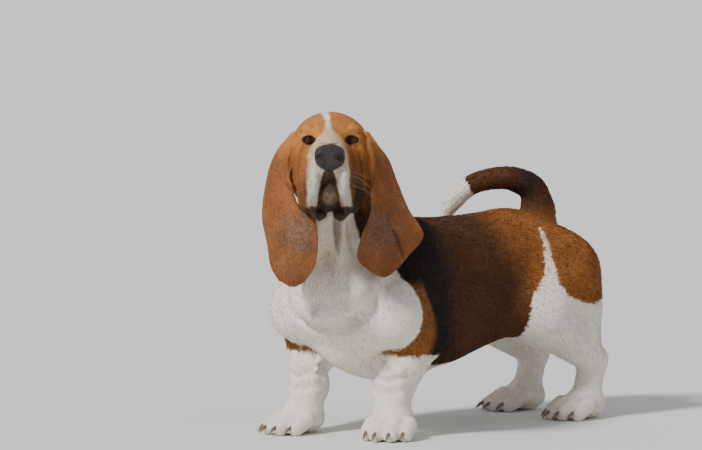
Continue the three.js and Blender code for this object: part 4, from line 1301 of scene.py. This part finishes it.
def coatGroup():
    outputs = [("Color", "NodeSocketColor"), ("Height", "NodeSocketFloat"), ("Roughness", "NodeSocketFloat")]
    tree, out = newGroup("shortCoat", outputs)

    def times(first, second, clamp=False):
        return maths(tree, "MULTIPLY", first, second, clamp)

    def plus(first, second, clamp=False):
        return maths(tree, "ADD", first, second, clamp)

    def minus(first, second, clamp=False):
        return maths(tree, "SUBTRACT", first, second, clamp)

    def vector(operation, output=0, **values):
        return addNode(tree, "ShaderNodeVectorMath", {"operation": operation}, **values).outputs[output]

    place, lie = objectPlace(tree), mask(tree, "lie", "Vector")
    along = times(vector("DOT_PRODUCT", "Value", n0=place, n1=lie), coatPaint["combed"])
    combed = vector("SUBTRACT", n0=place, n1=vector("SCALE", n0=lie, Scale=along))
    hair = clouds(tree, combed, coatPaint["hairAcross"])
    clump = clouds(tree, combed, coatPaint["clumps"], 2.0)
    broad, ragged = clouds(tree, place, 22.0), clouds(tree, place, 90.0)
    wander = times(minus(ragged, 0.5), 2 * coatPaint["whiteRagged"])
    edge = plus(plus(mask(tree, "white"), wander), times(minus(clump, 0.5), 12.0))
    share = plus(times(edge, 0.3), 0.5, clamp=True)
    tone = plus(plus(times(clump, 0.7), times(broad, 0.5)), 0.42)
    brown = vector("SCALE", n0=mask(tree, "pigment", "Color"), Scale=tone)
    cream = mask(tree, "cream")
    warm = plus(cream, times(minus(broad, 0.4), 0.8), clamp=True)
    pale = mixColour(tree, warm, (*coatPaint["white"], 1), (*coatPaint["cream"], 1))
    cells = addNode(tree, "ShaderNodeTexVoronoi", Vector=place, Scale=coatPaint["freckles"]).outputs[0]
    spots = times(minus(0.34, cells), 5.0, clamp=True)
    spots = times(times(spots, minus(cream, 0.4, clamp=True)), 0.6)
    pale = mixColour(tree, spots, pale, (*coatColours["mouth"], 1))
    colour = mixColour(tree, share, brown, pale)
    # The hairs' fine noise, times the painted shade of the creases and hollows.
    fine = times(plus(times(hair, 0.5), 0.75), minus(1.0, mask(tree, "shade")))
    colour = vector("SCALE", n0=colour, Scale=fine)
    lip, haw = mask(tree, "lip"), mask(tree, "haw")
    colour = mixColour(tree, lip, colour, (*coatColours["lip"], 1))
    colour = mixColour(tree, haw, colour, (*coatColours["haw"], 1))
    bare = maths(tree, "MAXIMUM", lip, haw)
    tree.links.new(colour, out.inputs["Color"])
    tree.links.new(times(plus(hair, clump), minus(1.0, bare)), out.inputs["Height"])
    tree.links.new(minus(0.78, times(bare, 0.35)), out.inputs["Roughness"])
    return tree


def newMaterial(name, roughness=0.5, colour=None):
    made = bpy.data.materials.new(name)
    made.use_nodes = True
    shader = made.node_tree.nodes["Principled BSDF"]
    shader.inputs["Roughness"].default_value = roughness
    if colour is not None:
        shader.inputs["Base Color"].default_value = (*colour, 1)
    return made, made.node_tree, shader


def coatMaterial(name, group, bumpDepth):
    made, tree, shader = newMaterial(name)
    coatNode = addNode(tree, "ShaderNodeGroup", {"node_tree": group})
    height = coatNode.outputs["Height"]
    bump = addNode(tree, "ShaderNodeBump", Height=height, Distance=bumpDepth * mm, Strength=0.7)
    tree.links.new(coatNode.outputs["Color"], shader.inputs["Base Color"])
    tree.links.new(coatNode.outputs["Roughness"], shader.inputs["Roughness"])
    tree.links.new(bump.outputs[0], shader.inputs["Normal"])
    shader.inputs["Specular IOR Level"].default_value = 0.22
    return made


def eyeMaterial():
    made, tree, shader = newMaterial("wetEye", 0.08)
    flecks = clouds(tree, objectPlace(tree), 900.0)
    part = maths(tree, "DIVIDE", mask(tree, "fromPupil"), 90.0)
    part = maths(tree, "ADD", part, maths(tree, "MULTIPLY", maths(tree, "SUBTRACT", flecks, 0.5), 0.02))
    ramp = addNode(tree, "ShaderNodeValToRGB", n0=part)
    stops = [  # pupil, iris, its dark edge and the white
        (0.0, (3, 3, 3)), (0.14, (4, 3, 3)), (0.17, (66, 34, 18)), (0.3, (120, 70, 36)), (0.38, (40, 22, 14)),
        (0.43, (176, 150, 140)), (0.7, (190, 130, 120)),
    ]
    while len(ramp.color_ramp.elements) < len(stops):
        ramp.color_ramp.elements.new(0.5)
    for element, (position, colour) in zip(ramp.color_ramp.elements, stops):
        element.position = position
        element.color = (*paint(*colour), 1)
    tree.links.new(ramp.outputs[0], shader.inputs["Base Color"])
    shader.inputs["Specular IOR Level"].default_value = 0.2
    shader.inputs["Coat Weight"].default_value = 0.55
    shader.inputs["Coat Roughness"].default_value = 0.03
    return made


def noseMaterial():
    made, tree, shader = newMaterial("nosePad", noseLook["roughness"])
    place, edges = objectPlace(tree), {"feature": "DISTANCE_TO_EDGE"}
    cells = addNode(tree, "ShaderNodeTexVoronoi", edges, Vector=place, Scale=noseLook["pebbles"]).outputs[0]
    colour = mixColour(tree, clouds(tree, place, 60.0, 2.0), (*paint(18, 13, 11), 1), (*paint(48, 38, 32), 1))
    # The nostrils' painted shade, near black.
    colour = mixColour(tree, mask(tree, "nostril"), colour, (*paint(3, 2, 2), 1))
    pebbles = maths(tree, "MINIMUM", maths(tree, "MULTIPLY", cells, 6.0), 1.0)
    bump = addNode(tree, "ShaderNodeBump", Height=pebbles, Distance=0.0005, Strength=0.6)
    tree.links.new(colour, shader.inputs["Base Color"])
    tree.links.new(bump.outputs[0], shader.inputs["Normal"])
    shader.inputs["Coat Weight"].default_value = 0.06
    shader.inputs["Coat Roughness"].default_value = 0.3
    return made


def clawMaterial():
    made, tree, shader = newMaterial("horn", 0.35)
    streaks = clouds(tree, objectPlace(tree), 300.0)
    colour = mixColour(tree, streaks, (*paint(70, 56, 46), 1), (*paint(150, 128, 104), 1))
    tree.links.new(colour, shader.inputs["Base Color"])
    return made


def wear(piece, material):
    piece.data.materials.clear()
    piece.data.materials.append(material)


shortCoat = coatGroup()
skinMaterial = coatMaterial("skinCoat", shortCoat, 0.6)
tuftMaterial = coatMaterial("tuftCoat", shortCoat, 0.1)
for piece in [skin, *ears]:
    wear(piece, skinMaterial)
for piece in coat:
    wear(piece, tuftMaterial)
wetEye, nosePad, horn = eyeMaterial(), noseMaterial(), clawMaterial()
for eye in eyes:
    wear(eye, wetEye)
wear(nose, nosePad)
wear(claws, horn)
wear(whiskers, newMaterial("paleHair", 0.4, paint(150, 122, 92))[0])
for name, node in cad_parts.items():
    wear(node, skinMaterial)
print("materials made")

# Camera: the photograph's, 55 degrees round to the dog's left and a little above.
cameraLook = {
    "azimuth": 55.0,
    "elevation": 4.0,
    "distance": 9.0,
    "aim": (-76.0, -108.0, 340.0),
    "scale": 1.711,  # millimetres to a pixel at the aim
    "across": 702,  # the frame's pixels
    "sensor": 36.0,
}


def addCamera():
    data = bpy.data.cameras.new("camera")
    camera = newObject("camera", data)
    azimuth, elevation = math.radians(cameraLook["azimuth"]), math.radians(cameraLook["elevation"])
    flat = math.cos(elevation)
    towards = Vector((math.sin(azimuth) * flat, -math.cos(azimuth) * flat, math.sin(elevation)))
    aim = Vector(fromClay(np.array([cameraLook["aim"]]))[0])
    camera.location = aim + towards * cameraLook["distance"]
    camera.rotation_euler = (-towards).to_track_quat("-Z", "Y").to_euler()
    data.sensor_width = cameraLook["sensor"]
    wide = cameraLook["across"] * cameraLook["scale"] * mm
    data.lens = cameraLook["sensor"] * cameraLook["distance"] / wide
    data.clip_end = 60
    bpy.context.scene.camera = camera


# Studio: a soft sun high ahead of the dog, with a pale sky and floor.
studio = {
    "sun": 3.4,
    "softness": 9.0,  # degrees
    "from": (0.55, -3.0, 2.7),
    "sky": 0.55,
    "skyColour": (0.92, 0.95, 1.0, 1),
    "floor": paint(226, 226, 222),
}


def addSun():
    light = bpy.data.lights.new("key", "SUN")
    light.energy = studio["sun"]
    light.angle = math.radians(studio["softness"])
    lamp = newObject("key", light)
    lamp.location = studio["from"]
    lamp.rotation_euler = Vector(studio["from"]).to_track_quat("Z", "Y").to_euler()


def addStudio():
    addSun()
    world = bpy.data.worlds.new("studio")
    bpy.context.scene.world = world
    world.use_nodes = True
    background = world.node_tree.nodes["Background"]
    background.inputs["Color"].default_value = studio["skyColour"]
    background.inputs["Strength"].default_value = studio["sky"]
    bm = bmesh.new()
    bmesh.ops.create_grid(bm, x_segments=1, y_segments=1, size=30)
    floor = newObject("floor", meshOf(bm, "floor", False))
    wear(floor, newMaterial("paleFloor", 0.9, studio["floor"])[0])


addCamera()
addStudio()
print("camera and studio set")
